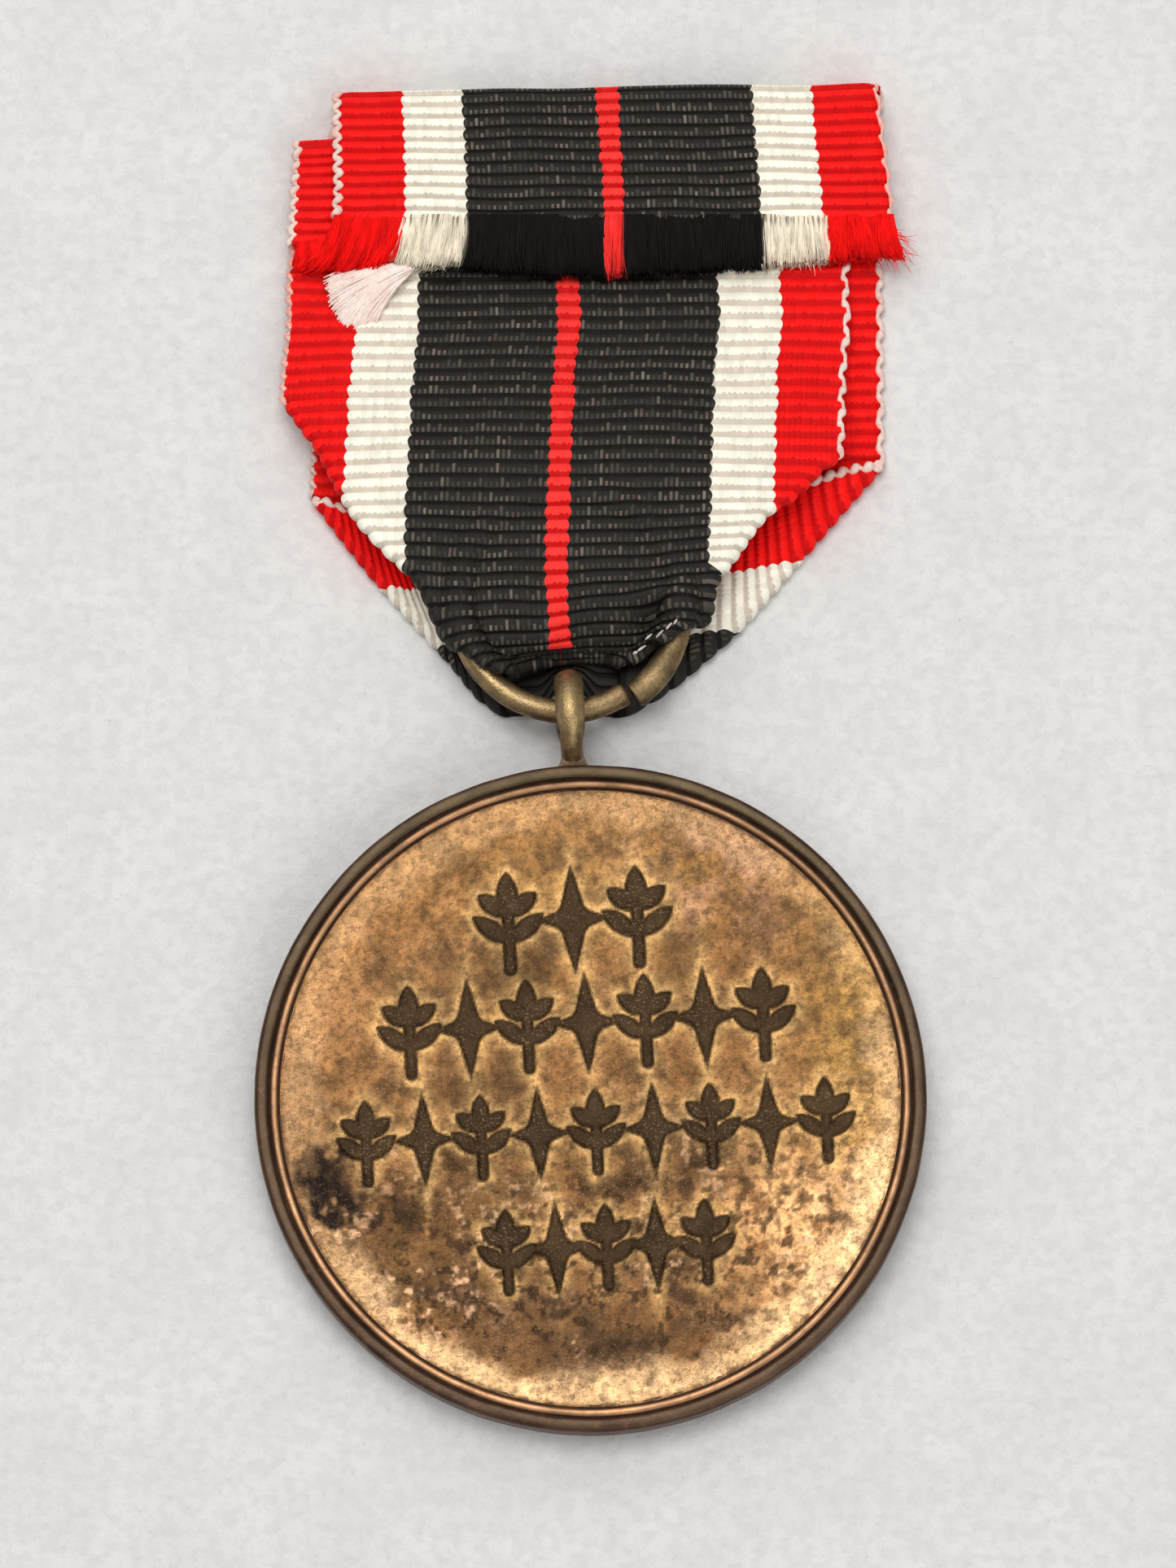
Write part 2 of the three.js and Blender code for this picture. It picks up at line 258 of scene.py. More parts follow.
class Nodes:
    """A short way to write a shader."""

    def __init__(self, name):
        self.material = bpy.data.materials.new(name)
        self.material.use_nodes = True
        self.tree = self.material.node_tree
        self.tree.nodes.clear()
        self.shader = self.tree.nodes.new("ShaderNodeBsdfPrincipled")
        output = self.tree.nodes.new("ShaderNodeOutputMaterial")
        self.tree.links.new(self.shader.outputs[0], output.inputs["Surface"])

    def put(self, socket, value):
        if isinstance(value, bpy.types.NodeSocket):
            self.tree.links.new(value, socket)
        elif socket.type == "RGBA":
            socket.default_value = (*value, 1)
        else:
            socket.default_value = value

    def node(self, kind, **inputs):
        made = self.tree.nodes.new(kind)
        for key, value in inputs.items():
            self.put(made.inputs[key.replace("_", " ")], value)
        return made

    def math(self, operation, a, b=0.0, c=0.0):
        made = self.tree.nodes.new("ShaderNodeMath")
        made.operation = operation
        for i, value in enumerate((a, b, c)):
            self.put(made.inputs[i], value)
        return made.outputs[0]

    def times(self, a, b):
        return self.math("MULTIPLY", a, b)

    def plus(self, a, b):
        return self.math("ADD", a, b)

    def minus(self, a, b):
        return self.math("SUBTRACT", a, b)

    def scaled(self, a, factor, offset):
        return self.math("MULTIPLY_ADD", a, factor, offset)

    def range(self, value, low, high, to_low=0.0, to_high=1.0):
        made = self.tree.nodes.new("ShaderNodeMapRange")
        made.interpolation_type = "SMOOTHSTEP"
        for i, v in enumerate((value, low, high, to_low, to_high)):
            self.put(made.inputs[i], v)
        return made.outputs[0]

    def mix(self, factor, a, b, blend="MIX"):
        made = self.tree.nodes.new("ShaderNodeMix")
        made.data_type = "RGBA"
        made.blend_type = blend
        self.put(made.inputs[0], factor)
        self.put(made.inputs[6], a)
        self.put(made.inputs[7], b)
        return made.outputs[2]

    def vector(self, x, y, z=0.0):
        return self.node("ShaderNodeCombineXYZ", X=x, Y=y, Z=z).outputs[0]

    def noise(self, vector, scale, detail=3.0, roughness=0.55):
        made = self.node("ShaderNodeTexNoise", Vector=vector, Scale=scale, Detail=detail, Roughness=roughness)
        return made.outputs[0]

    def stretched(self, u, v, across, along, detail=3.0):
        """Noise on the cloth, at a scale of its own each way."""
        return self.noise(self.vector(self.times(u, across), self.times(v, along)), 1.0, detail)

    def shaded(self, colour, shade):
        return self.mix(1.0, colour, self.vector(shade, shade, shade), "MULTIPLY")

    def white(self, vector):
        return self.node("ShaderNodeTexWhiteNoise", Vector=vector).outputs["Value"]

    def attribute(self, name, output="Fac"):
        made = self.tree.nodes.new("ShaderNodeAttribute")
        made.attribute_name = name
        return made.outputs[output]

    def place(self):
        """The object's own coordinates, in metres."""
        return self.tree.nodes.new("ShaderNodeTexCoord").outputs["Object"]

    def cloth_uv(self):
        """Millimetres across the ribbon from its left selvedge, and along it."""
        made = self.tree.nodes.new("ShaderNodeUVMap")
        made.uv_map = "cloth"
        split = self.node("ShaderNodeSeparateXYZ", Vector=made.outputs[0])
        return self.times(split.outputs[0], UV_SCALE), self.times(split.outputs[1], UV_SCALE)

    def bump(self, height, distance, strength):
        return self.node("ShaderNodeBump", Height=height, Distance=distance, Strength=strength).outputs[0]

    def done(self, **inputs):
        for key, value in inputs.items():
            self.put(self.shader.inputs[key.replace("_", " ")], value)
        return self.material


RIB = 0.66  # the ribs' pitch
WARP = 0.27  # the warp threads' pitch
WIDTH, MIDDLE_U = 28, 14.0  # the ribbon's pattern runs from 0 to WIDTH, with the middle stripe at MIDDLE_U
HALF_WIDTH = 13.9
FRINGE_V = 40  # frayed ends have their own stretch of the pattern, from here on
RED = (0.99, 0.007, 0.006)
CENTRE_RED = (0.99, 0.040, 0.034)
BLACK = (0.0205, 0.0180, 0.0145)
WHITE = (0.99, 0.95, 0.82)
CENTRE_EDGE, BLACK_EDGE, WHITE_EDGE = 0.54, 7.5, 10.62


def stripes(n, across, soft=0.02):
    """The ribbon's stripe colour at that distance from its middle."""
    colour = n.mix(n.range(across, CENTRE_EDGE - soft, CENTRE_EDGE + soft), CENTRE_RED, BLACK)
    white = n.range(across, BLACK_EDGE - soft, BLACK_EDGE + soft)
    red = n.range(across, WHITE_EDGE - soft, WHITE_EDGE + soft)
    return n.mix(red, n.mix(white, colour, WHITE), RED), white, red


def grosgrain():
    n = Nodes("grosgrain")
    u, v = n.cloth_uv()
    along = n.math("DIVIDE", v, RIB)
    rib, phase = n.math("FLOOR", along), n.math("FRACT", along)
    thread = n.math("DIVIDE", u, WARP)
    slot, part = n.math("FLOOR", thread), n.math("FRACT", thread)
    random = n.white(n.vector(slot, rib, 1.0))
    random_2 = n.white(n.vector(slot, rib, 5.0))
    strand = n.white(n.vector(slot, 3.0, 0.0))
    crest = n.math("SINE", n.times(phase, pi))
    rounded = n.math("SINE", n.times(part, pi))
    wobble = n.scaled(n.white(n.vector(rib, 9.0, 0.0)), 0.14, -0.10)
    swell = n.scaled(crest, -0.13, n.plus(wobble, 0.11))
    across = n.plus(n.math("ABSOLUTE", n.minus(u, MIDDLE_U)), swell)
    colour, white, red = stripes(n, across)
    not_black = n.math("MAXIMUM", white, n.range(across, CENTRE_EDGE + 0.02, CENTRE_EDGE - 0.02))

    # Painted shade on the lower flank of each rib and in each groove, toothed where the warp threads dip into
    # the groove.
    tooth = n.times(rounded, n.scaled(random, 0.16, 0.03))
    drift = n.times(n.stretched(u, rib, 0.8, 3.7, 2.0), 0.16)
    low = n.minus(n.minus(phase, tooth), drift)
    low = n.plus(low, n.scaled(red, -0.05, n.times(n.minus(1.0, not_black), 0.10)))
    high = n.minus(1.0, phase)
    painted_flank_shade = n.range(low, 0.14, 0.23, 1.0, 0.0)
    painted_groove_shade = n.math("MAXIMUM", n.times(painted_flank_shade, 0.92), n.range(high, 0.02, 0.10, 0.8, 0.0))
    shaded_red, shaded_white = (0.60, 0.0, 0.001), (0.66, 0.585, 0.48)
    shaded_colour = n.mix(white, BLACK, shaded_white)
    shaded_colour = n.mix(n.math("MAXIMUM", red, n.range(across, 0.56, 0.52)), shaded_colour, shaded_red)
    shaded_colour = n.mix(n.minus(1.0, not_black), shaded_colour, (0.0035, 0.0031, 0.0027))
    colour = n.mix(painted_groove_shade, colour, shaded_colour)

    # Painted glints of light on the black threads, as dashes on each rib, some short and some tall.
    reach = n.range(random_2, 0.74, 0.80, 0.36, 0.72)
    from_middle = n.math("ABSOLUTE", n.minus(phase, n.scaled(reach, 0.5, 0.20)))
    band = n.range(from_middle, n.times(reach, 0.38), n.times(reach, 0.54), 1.0, 0.0)
    narrow = n.range(n.math("ABSOLUTE", n.minus(part, 0.5)), 0.14, 0.36, 1.0, 0.0)
    patchy = n.stretched(u, v, 0.35, 0.5, 2.0)
    bright = n.scaled(n.math("POWER", random, 1.7), 0.72, 0.14)
    bright = n.times(bright, n.scaled(strand, 0.5, 0.7))
    painted_glint = n.times(n.times(band, narrow), n.times(bright, n.range(patchy, 0.35, 0.65, 0.45, 1.0)))
    painted_glint = n.times(painted_glint, n.minus(1.0, not_black))
    glint_colour = n.mix(n.white(n.vector(slot, rib, 8.0)), (0.215, 0.195, 0.15), (0.225, 0.175, 0.15))
    colour = n.mix(painted_glint, colour, glint_colour)

    # Each thread is a little lighter or darker than the next, more so on the black.
    shade = n.scaled(random_2, 0.16, 0.92)
    colour = n.shaded(colour, shade)
    height = n.scaled(rounded, 0.6, n.times(n.stretched(u, v, 9.0, 3.0), 0.8))
    roughness = n.scaled(random, 0.12, 0.56)
    return n.done(
        Base_Color=colour,
        Roughness=roughness,
        Specular_IOR_Level=n.scaled(white, 0.10, n.scaled(red, -0.12, 0.16)),
        Sheen_Weight=n.times(red, 0.02),
        Sheen_Roughness=0.4,
        Sheen_Tint=(1.0, 0.25, 0.2),
        Normal=n.bump(height, 0.00004, 0.7),
    )


def frayed():
    """Loose dyed fibres, coloured by the stripe that they come from."""
    n = Nodes("frayed_stripes")
    u, v = n.cloth_uv()
    fibre = n.white(n.vector(n.math("FLOOR", n.times(u, 14.0)), 2.0, 0.0))
    ragged = n.scaled(fibre, 0.24, -0.12)
    across = n.plus(n.math("ABSOLUTE", n.minus(u, MIDDLE_U)), ragged)
    colour, white, red = stripes(n, across, 0.05)
    not_black = n.math("MAXIMUM", white, n.range(across, 0.6, 0.5))
    cream = n.times(white, n.minus(1.0, red))
    colour = n.mix(n.times(cream, 0.55), colour, (0.95, 0.82, 0.62))
    colour = n.mix(n.minus(1.0, not_black), colour, (0.009, 0.008, 0.007))
    # Painted shade in the slits between the white threads, close to the weave.
    slit_shade = n.range(n.math("ABSOLUTE", n.minus(n.math("FRACT", n.math("DIVIDE", u, WARP)), 0.5)), 0.30, 0.46)
    slit_shade = n.times(slit_shade, n.range(v, 40.25, 40.75, 0.85, 0.0))
    colour = n.mix(n.times(slit_shade, cream), colour, (0.20, 0.155, 0.105))
    # Clumps lighter or darker at random, and painted shade towards the rolled-under ends of the strands.
    clump = n.stretched(u, v, 4.0, 0.8)
    shade = n.range(clump, 0.32, 0.68, 0.78, 1.22)
    shade = n.times(shade, n.range(v, 41.6, 43.0, 1.0, 0.82))
    colour = n.shaded(colour, shade)
    height = n.stretched(u, v, 11.0, 1.1, 4.0)
    return n.done(
        Base_Color=colour, Roughness=0.8, Specular_IOR_Level=0.12, Normal=n.bump(height, 0.00012, 0.8)
    )


def plain_thread(name, light, dark, sheen=0.0):
    """Twisted undyed thread."""
    n = Nodes(name)
    spots = n.noise(n.place(), 5200.0, 3.0)
    patch = n.noise(n.place(), 900.0, 2.0)
    colour = n.mix(n.range(n.scaled(patch, 0.5, n.times(spots, 0.5)), 0.35, 0.65), dark, light)
    return n.done(
        Base_Color=colour, Roughness=0.78, Specular_IOR_Level=0.15, Sheen_Weight=sheen,
        Normal=n.bump(spots, 0.00005, 0.6),
    )


def bronze_face():
    """Struck bronze, toned brown and gold. The colours, painted reflections and painted shade among them, and
    the wear are worked out point by point.
    """
    n = Nodes("struck_bronze")
    at = n.place()
    grain = n.noise(at, 9000.0, 3.0)
    speck = n.noise(at, 2600.0, 4.0, 0.65)
    colour = n.attribute("tone_and_painted_light", "Color")
    dark = n.times(n.range(speck, 0.50, 0.60), 0.42)
    colour = n.mix(dark, colour, (0.085, 0.045, 0.022))
    fine_dark = n.times(n.range(n.noise(at, 6200.0, 3.0, 0.6), 0.53, 0.62), 0.30)
    colour = n.mix(fine_dark, colour, (0.09, 0.047, 0.024))
    light = n.times(n.range(grain, 0.55, 0.66), 0.30)
    colour = n.mix(
        n.times(light, n.range(n.noise(at, 300.0, 2.0), 0.4, 0.6, 0.35, 1.0)), colour, (0.58, 0.36, 0.20),
    )
    roughness = n.plus(n.attribute("dullness"), n.scaled(speck, 0.16, -0.08))
    height = n.scaled(grain, 0.5, n.times(speck, 0.8))
    return n.done(
        Base_Color=colour, Metallic=0.88, Roughness=roughness, Normal=n.bump(height, 0.00010, 1.0)
    )


def bronze_rim():
    """The disc's raised edge: chocolate toned, worn coppery on the bead, with a painted highlight low on the
    left.
    """
    n = Nodes("toned_rim")
    at = n.place()
    speck = n.noise(at, 2300.0, 5.0, 0.65)
    patch = n.noise(at, 420.0, 3.0)
    fine = n.noise(at, 9000.0, 3.0)
    colour = n.attribute("tone_and_painted_light", "Color")
    colour = n.mix(n.times(n.range(patch, 0.45, 0.7), 0.3), colour, (0.13, 0.080, 0.048))
    colour = n.mix(n.times(n.range(speck, 0.55, 0.68), 0.4), colour, (0.21, 0.11, 0.062))
    height = n.scaled(fine, 0.4, speck)
    return n.done(
        Base_Color=colour, Metallic=0.82, Roughness=n.scaled(speck, 0.3, 0.30),
        Normal=n.bump(height, 0.00004, 0.5),
    )


def toned_brass(name, light, dark, red):
    """Drawn brass wire, toned olive brown with rubbed lighter patches, which on the ring's left arc are also
    painted light.
    """
    n = Nodes(name)
    at = n.place()
    speck = n.noise(at, 2600.0, 5.0, 0.7)
    patch = n.noise(at, 700.0, 3.0)
    worn = n.attribute("worn")
    mixed = n.plus(n.times(patch, 0.55), n.times(speck, 0.45))
    colour = n.mix(n.range(mixed, 0.41, 0.57), dark, light)
    colour = n.mix(n.times(n.range(n.noise(at, 1100.0, 2.0), 0.56, 0.72), 0.35), colour, red)
    pits = n.range(n.noise(at, 5200.0, 3.0, 0.6), 0.52, 0.64, 0.0, 0.55)
    colour = n.mix(pits, colour, (0.055, 0.036, 0.018))
    # Below 0 the worn value reddens the wire; above 0 it lightens it, for rubbed wear and, on the ring's left
    # arc, painted light.
    colour = n.mix(n.range(worn, 0.0, -1.0, 0.0, 0.85), colour, red)
    colour = n.mix(n.range(worn, 0.0, 1.0, 0.0, 0.6), colour, (0.52, 0.37, 0.18))
    return n.done(
        Base_Color=colour, Metallic=0.85,
        Roughness=n.minus(n.scaled(speck, 0.25, 0.38), n.range(worn, 0.0, 1.0, 0.0, 0.14)),
        Normal=n.bump(n.plus(speck, n.noise(at, 8000.0, 2.0)), 0.00005, 0.55),
    )


CLOTH = grosgrain()
FRAYED = frayed()
SELVEDGE = plain_thread("selvedge_thread", (0.90, 0.76, 0.68), (0.80, 0.50, 0.44))
PINK = plain_thread("stained_selvedge", (0.90, 0.58, 0.50), (0.86, 0.36, 0.30))
COTTON = plain_thread("cotton_tuft", (1.0, 0.90, 0.84), (0.95, 0.74, 0.66), 0.3)
GLINT = plain_thread("white_filament", (0.72, 0.68, 0.62), (0.40, 0.37, 0.34))
FACE = bronze_face()
RIM = bronze_rim()
RING_BRASS = toned_brass("ring_brass", (0.285, 0.195, 0.095), (0.105, 0.074, 0.037), (0.20, 0.095, 0.047))
EYELET_BRASS = toned_brass("eyelet_brass", (0.36, 0.25, 0.115), (0.15, 0.102, 0.048), (0.20, 0.085, 0.04))
SOLDER = toned_brass("hard_solder", (0.50, 0.37, 0.25), (0.22, 0.14, 0.08), (0.26, 0.13, 0.07))


# ---- Ribbon ----
# u runs across the ribbon from the left selvedge, 0 to WIDTH, and v along it.

GROOVE_HALF, CREST_HALF = 0.10, 0.245  # half the cloth's thickness
RIB_STEPS = (0.0, 0.1, 0.28, 0.5, 0.72, 0.9)
RING_X, RING_Y, RING_Z = -1.05, 24.5, 2.4
RING_RADIUS, RING_WIRE = 5.45, 0.58


def rib_rows(length, pitch):
    """Distances along the ribbon, close together at each groove, and the woven length at each."""
    rows, ribs, start, i = [], [], 0.0, 0
    while start + pitch(start) <= length:
        step = float(pitch(start))
        rows += [start + f * step for f in RIB_STEPS]
        ribs += [i + f for f in RIB_STEPS]
        start, i = start + step, i + 1
    return np.array(rows + [start]), np.array(ribs + [i]) * RIB


def thickness(v):
    phase = np.mod(v / RIB, 1)
    phase = np.where(phase > 0.999, 0, phase)
    ridge = np.clip(1 - (2 * phase - 1) ** 2, 0, 1) ** 0.72
    return GROOVE_HALF + (CREST_HALF - GROOVE_HALF) * ridge


def normals(mid):
    return unit(np.cross(np.gradient(mid, axis=1), np.gradient(mid, axis=0)))


def cloth(name, mid, u, v, v_pattern):
    """A ribbed cloth piece about a middle surface of (rows, columns) points, and the surface's normals."""
    rows, cols = mid.shape[:2]
    normal = normals(mid)
    half = thickness(v)[:, None, None] * np.ones((rows, cols, 1))
    edge = np.minimum(np.arange(cols), np.arange(cols)[::-1])[None, :, None]
    half = half * np.where(edge == 0, 0.55, np.where(edge == 1, 0.85, 1.0))
    uv = np.stack([u, np.broadcast_to(v_pattern[:, None], u.shape)], -1).reshape(-1, 2)
    obj = piece(name, slab(mid, half, normal), slab_faces(rows, cols), CLOTH, np.concatenate([uv, uv]))
    return obj, normal


def over_ring(x, y, clearance):
    """How high cloth lies where it crosses the ring's wire, or a low number away from it."""
    off = np.abs(np.hypot(x - RING_X, y - RING_Y) - RING_RADIUS)
    reach = RING_WIRE + clearance
    return RING_Z + np.sqrt(np.clip(reach**2 - off**2, 0, None)) - np.where(off > reach, (off - reach) * 1.6, 0)


def soft_max(a, b, k):
    h = np.clip(0.5 + 0.5 * (a - b) / k, 0, 1)
    return b * (1 - h) + a * h + k * h * (1 - h)


def path_by_length(points, step=0.02):
    """A fine line through (y, z) points, and the distance along it."""
    points = np.array(points, float)
    t = running(np.hypot(*np.diff(points, axis=0).T))
    fine = np.arange(0, t[-1], step)
    y, z = (through(fine, np.stack([t, points[:, i]], 1)) for i in (0, 1))
    return y, z, running(np.hypot(np.diff(y), np.diff(z)))


FOLD_RADIUS = 0.25


def across_row(t, half, squeeze):
    """The offset and drop of a point t from the ribbon's middle, with the cloth past half folded under."""
    excess = np.clip(np.abs(t) - half, 0, None)
    turn = np.clip(excess / FOLD_RADIUS, 0, pi)
    beyond = np.clip(excess - pi * FOLD_RADIUS, 0, None)
    x = np.minimum(np.abs(t), half) + FOLD_RADIUS * np.sin(turn) - beyond * squeeze
    return np.sign(t) * x, FOLD_RADIUS * (1 - np.cos(turn))


# Back panel: from inside the ring, over its top, up to the hem, and turned back as the inner fold.
BACK_PATH = [
    (24.6, 0.72), (22.8, 0.72), (21.6, 0.74), (21.1, 0.82), (20.95, 1.05), (21.15, 1.32), (21.65, 1.68),
    (22.15, 2.12),
    (22.7, 2.62), (23.5, 3.05), (24.7, 3.36), (26.3, 3.54), (28.5, 3.60), (30.2, 3.56), (31.8, 3.36),
    (33.6, 2.9),
    (36.0, 2.14), (38.5, 1.45), (40.5, 1.02), (42.5, 0.88), (46.0, 0.87), (48.7, 0.87), (49.02, 0.95),
    (49.12, 1.17),
    (49.02, 1.42), (48.7, 1.52), (46.0, 1.55), (44.4, 1.52), (42.9, 1.48),
]
MIDDLE_X = [
    (20.5, -1.45), (22, -1.50), (26.1, -1.66), (29.4, -1.57), (33.5, -1.42), (36.4, -1.30), (39.3, -1.06),
    (41, -1.12),
    (44, -0.85), (48.6, -0.62),
]
BACK_TILT = [
    (20.9, 0.12), (21.7, 0.15), (23, 0.10), (25.5, 0.045), (28, 0.01), (32, 0.0), (40, 0.004), (47.0, 0.03),
    (48.6, 0.06),
]
BACK_PITCH = [(20, 0.66), (27, 0.68), (31, 0.74), (39, 0.75), (42, 0.66), (49, 0.64)]
HALF_COLUMNS = 66
LOWEST = 20.9
LEFT_OUT = [
    (20.9, 2.7), (21.3, 3.3), (21.9, 4.2), (22.4, 4.75), (22.95, 5.6), (25.5, 7.15), (26.55, 8.3),
    (28.4, 10.05),
    (30.4, 11.2), (32.3, 12.2), (33.7, 13.2), (35.0, 13.9), (49, 13.9),
]
RIGHT_OUT = [
    (20.9, 3.2), (21.3, 4.1), (21.75, 5.4), (22.4, 6.7), (23.0, 7.6), (24.5, 7.95), (25.9, 8.9), (28.6, 10.6),
    (29.5, 11.7), (30.3, 12.4), (31.2, 13.1), (31.95, 13.9), (49, 13.9),
]


def back_panel():
    y_path, z_path, s_path = path_by_length(BACK_PATH)
    top = s_path[np.argmax(y_path)]
    pitch = lambda s: 0.63 if s > top else through(np.interp(s, s_path, y_path), BACK_PITCH)
    rows, woven = rib_rows(s_path[-1], pitch)
    y0, z0 = np.interp(rows, s_path, y_path), np.interp(rows, s_path, z_path)
    bottom = s_path[np.argmin(np.where(s_path < 8, y_path, 99))]
    upper = (rows >= bottom) & (rows <= top)
    # Half the width that shows at each row; the rest is folded under.
    y_for = np.where(rows < bottom, LOWEST, y0)
    left, right = through(y_for, LEFT_OUT), through(y_for, RIGHT_OUT)
    tucked = smoothstep(bottom, bottom - 2.0, rows)
    left, right = left * (1 - 0.1 * tucked), right * (1 - 0.25 * tucked)
    t = np.zeros((len(rows), 2 * HALF_COLUMNS))
    for side, out, columns in ((-1, left, slice(0, HALF_COLUMNS)), (1, right, slice(HALF_COLUMNS, None))):
        half = np.minimum(out - 0.22 - FOLD_RADIUS, HALF_WIDTH)
        knee = np.minimum(half - 0.1, HALF_WIDTH - 0.6)
        roll_end = np.minimum(knee + 1.0, HALF_WIDTH - 0.2)
        flat_part = np.linspace(0, 1, 46)[None] * knee[:, None]
        roll_part = knee[:, None] + (roll_end - knee)[:, None] * np.linspace(0, 1, 13)[None, 1:]
        rest = roll_end[:, None] + (HALF_WIDTH - roll_end)[:, None] * np.linspace(0, 1, 9)[None, 1:]
        whole = np.concatenate([flat_part + 0.03, roll_part, rest], axis=1)
        t[:, columns] = whole if side > 0 else -whole[:, ::-1]
    half = np.where(t < 0, left[:, None], right[:, None]) - 0.22 - FOLD_RADIUS
    half = np.where(half > HALF_WIDTH - FOLD_RADIUS - 0.24, 20, half)  # nothing folded under
    squeeze = np.minimum(1.0, 0.55 * half / np.clip(HALF_WIDTH - half - pi * FOLD_RADIUS, 0.01, None))
    x, drop = across_row(t, half, squeeze)
    folded = smoothstep(HALF_WIDTH - 0.1, HALF_WIDTH - 1.2, np.minimum(half, 19))
    middle = through(y0, MIDDLE_X)
    tilt = through(y_for, BACK_TILT)
    turned_back = rows > top
    x = x * np.where(turned_back, 1.0, 0.992)[:, None]
    x_at = middle[:, None] + x
    y_at = y0[:, None] + tilt[:, None] * x
    # Loose waviness of the ribs, and sag towards the selvedges above the ring.
    loose = smoothstep(42, 36, y0)[:, None] * (~turned_back[:, None])
    y_at = y_at + 0.055 * waves(x_at, y0[:, None], 3, 9.0) * (0.35 + 0.65 * loose)
    y_at = y_at + loose * 0.10 * waves(x_at * 0.8, y0[:, None] * 0.5, 4, 5.0) * smoothstep(30, 24, y0)[:, None]
    side_rise = smoothstep(31.5, 27.0, y0)[:, None] * smoothstep(22.6, 25, y0)[:, None]
    bow = (np.clip(np.abs(x) / half, 0, 1) ** 2) * side_rise
    y_at = y_at + 0.30 * bow
    z_at = z0[:, None] - drop
    z_at = z_at + loose * 0.07 * waves(x_at, y_at, 5, 7.0)
    # The panel's shoulders lie lower than its middle, where the ring lifts it.
    shoulder = np.clip((np.abs(x) - 6.0) / 8, 0, 1) ** 1.5
    z_at = z_at - 0.75 * shoulder * (smoothstep(40, 35, y0) * smoothstep(26, 30, y0))[:, None]
    # A crumple beside the ring, on the right.
    dent = bell(x_at, 3.2, 1.0) * bell(y_at, 23.55, 0.62)
    fold = bell(x_at, 3.5, 1.5) * bell(y_at, 24.5, 0.55)
    on_top = (upper & (y0 < 30))[:, None] & (drop < FOLD_RADIUS)
    z_at = z_at - 0.75 * dent * on_top + 0.22 * fold * on_top
    y_at = y_at + 0.32 * fold * on_top
    # Clear of the ring's wire where it crosses it.
    lift = over_ring(x_at, y_at, CREST_HALF + 0.03) + 0.46 * folded
    near = (upper & (y0 < 33))[:, None]
    z_at = np.where(near, soft_max(z_at, lift - drop, 0.25), z_at)
    # Pushed back where the eyelet swings through the turn.
    way = bell(x_at, RING_X, 2.8, 4) * smoothstep(22.8, 21.0, y_at) * (y0 < 23)[:, None]
    mid = np.stack([x_at, y_at + 0.9 * way, np.maximum(z_at, 0.35)], -1)
    # Inside the ring only the black middle of the ribbon is coloured, which also stands as painted shade in the
    # ring's hole.
    inside = smoothstep(26.0, 24.6, y0)[:, None]
    u = MIDDLE_U + t + (np.clip(t, -7.2, 7.2) - t) * inside
    # Lower, in the turn into the ring's hole, the cloth is coloured black all across: painted shade.
    turn_shade_u = np.sign(t) * (1.2 + np.abs(np.mod(np.abs(t) + 2.6, 10) - 5))
    u = np.where((rows < bottom + 1.5)[:, None], MIDDLE_U + turn_shade_u, u)
    turned = 2 * round(float(np.interp(top, rows, woven)) / RIB) * RIB
    obj, normal = cloth("ribbon_back", mid, u, woven, np.where(turned_back, turned - woven, woven))
    return obj, mid, normal, rows, y0, top, bottom


back, back_mid, back_normal, back_rows, back_y0, back_top, back_bottom = back_panel()

# Front panel: on the table, its lower corners folded in, and turned over the top as the outer fold.
FRONT_PATH = [
    (19.3, 0.25), (24, 0.25), (30, 0.25), (41, 0.25), (48, 0.26), (49.95, 0.30), (50.66, 0.55), (50.92, 1.0),
    (50.96, 1.5),
    (50.8, 2.0), (50.35, 2.32), (49.3, 2.42), (47, 2.40), (45, 2.30), (43.75, 2.20),
]
LEFT_EDGE = [
    (19, -15.25), (20.5, -15.0), (22.3, -14.1), (23.5, -13.68), (31, -13.68), (41.7, -13.75), (46, -13.4),
    (51.3, -12.55),
]
RIGHT_EDGE = [
    (19, 12.7), (20.5, 12.9), (22.3, 13.5), (26.5, 13.7), (29.0, 14.2), (31, 14.4), (41.7, 14.42), (46, 14.45),
    (51.3, 14.5),
]
LEFT_FOLD = [
    (19.2, -4.0), (20.2, -5.35), (21.8, -6.65), (22.85, -7.6), (26.1, -10.5), (28.3, -12.2), (30.3, -13.66),
]
RIGHT_FOLD = [
    (19.2, 1.0), (19.5, 1.9), (20.2, 3.2), (21.15, 4.5), (22.0, 5.45), (23.5, 7.1), (27.1, 10.2), (31.95, 14.38),
]
OUTER_LEFT = [(43.5, -12.62), (46, -12.5), (51.3, -12.55)]
OUTER_RIGHT = [(43.5, 14.95), (46, 14.72), (48.5, 14.42), (51.3, 14.12)]
OUTER_TILT = [(43.5, 0.0), (47, 0.008), (51.3, 0.017)]
FRONT_TILT = [(19, 0.0), (42, 0.0), (51.3, 0.017)]
# How far the ribs of a folded-in side lean as they run up it.
LEFT_LEAN = [(19, -0.62), (23, -0.40), (27, -0.20), (31.5, -0.06)]
RIGHT_LEAN = [(19, 0.05), (23, 0.02), (27, -0.12), (31.5, -0.22)]
FLAP_RADIUS = 0.27
COLUMNS = 108


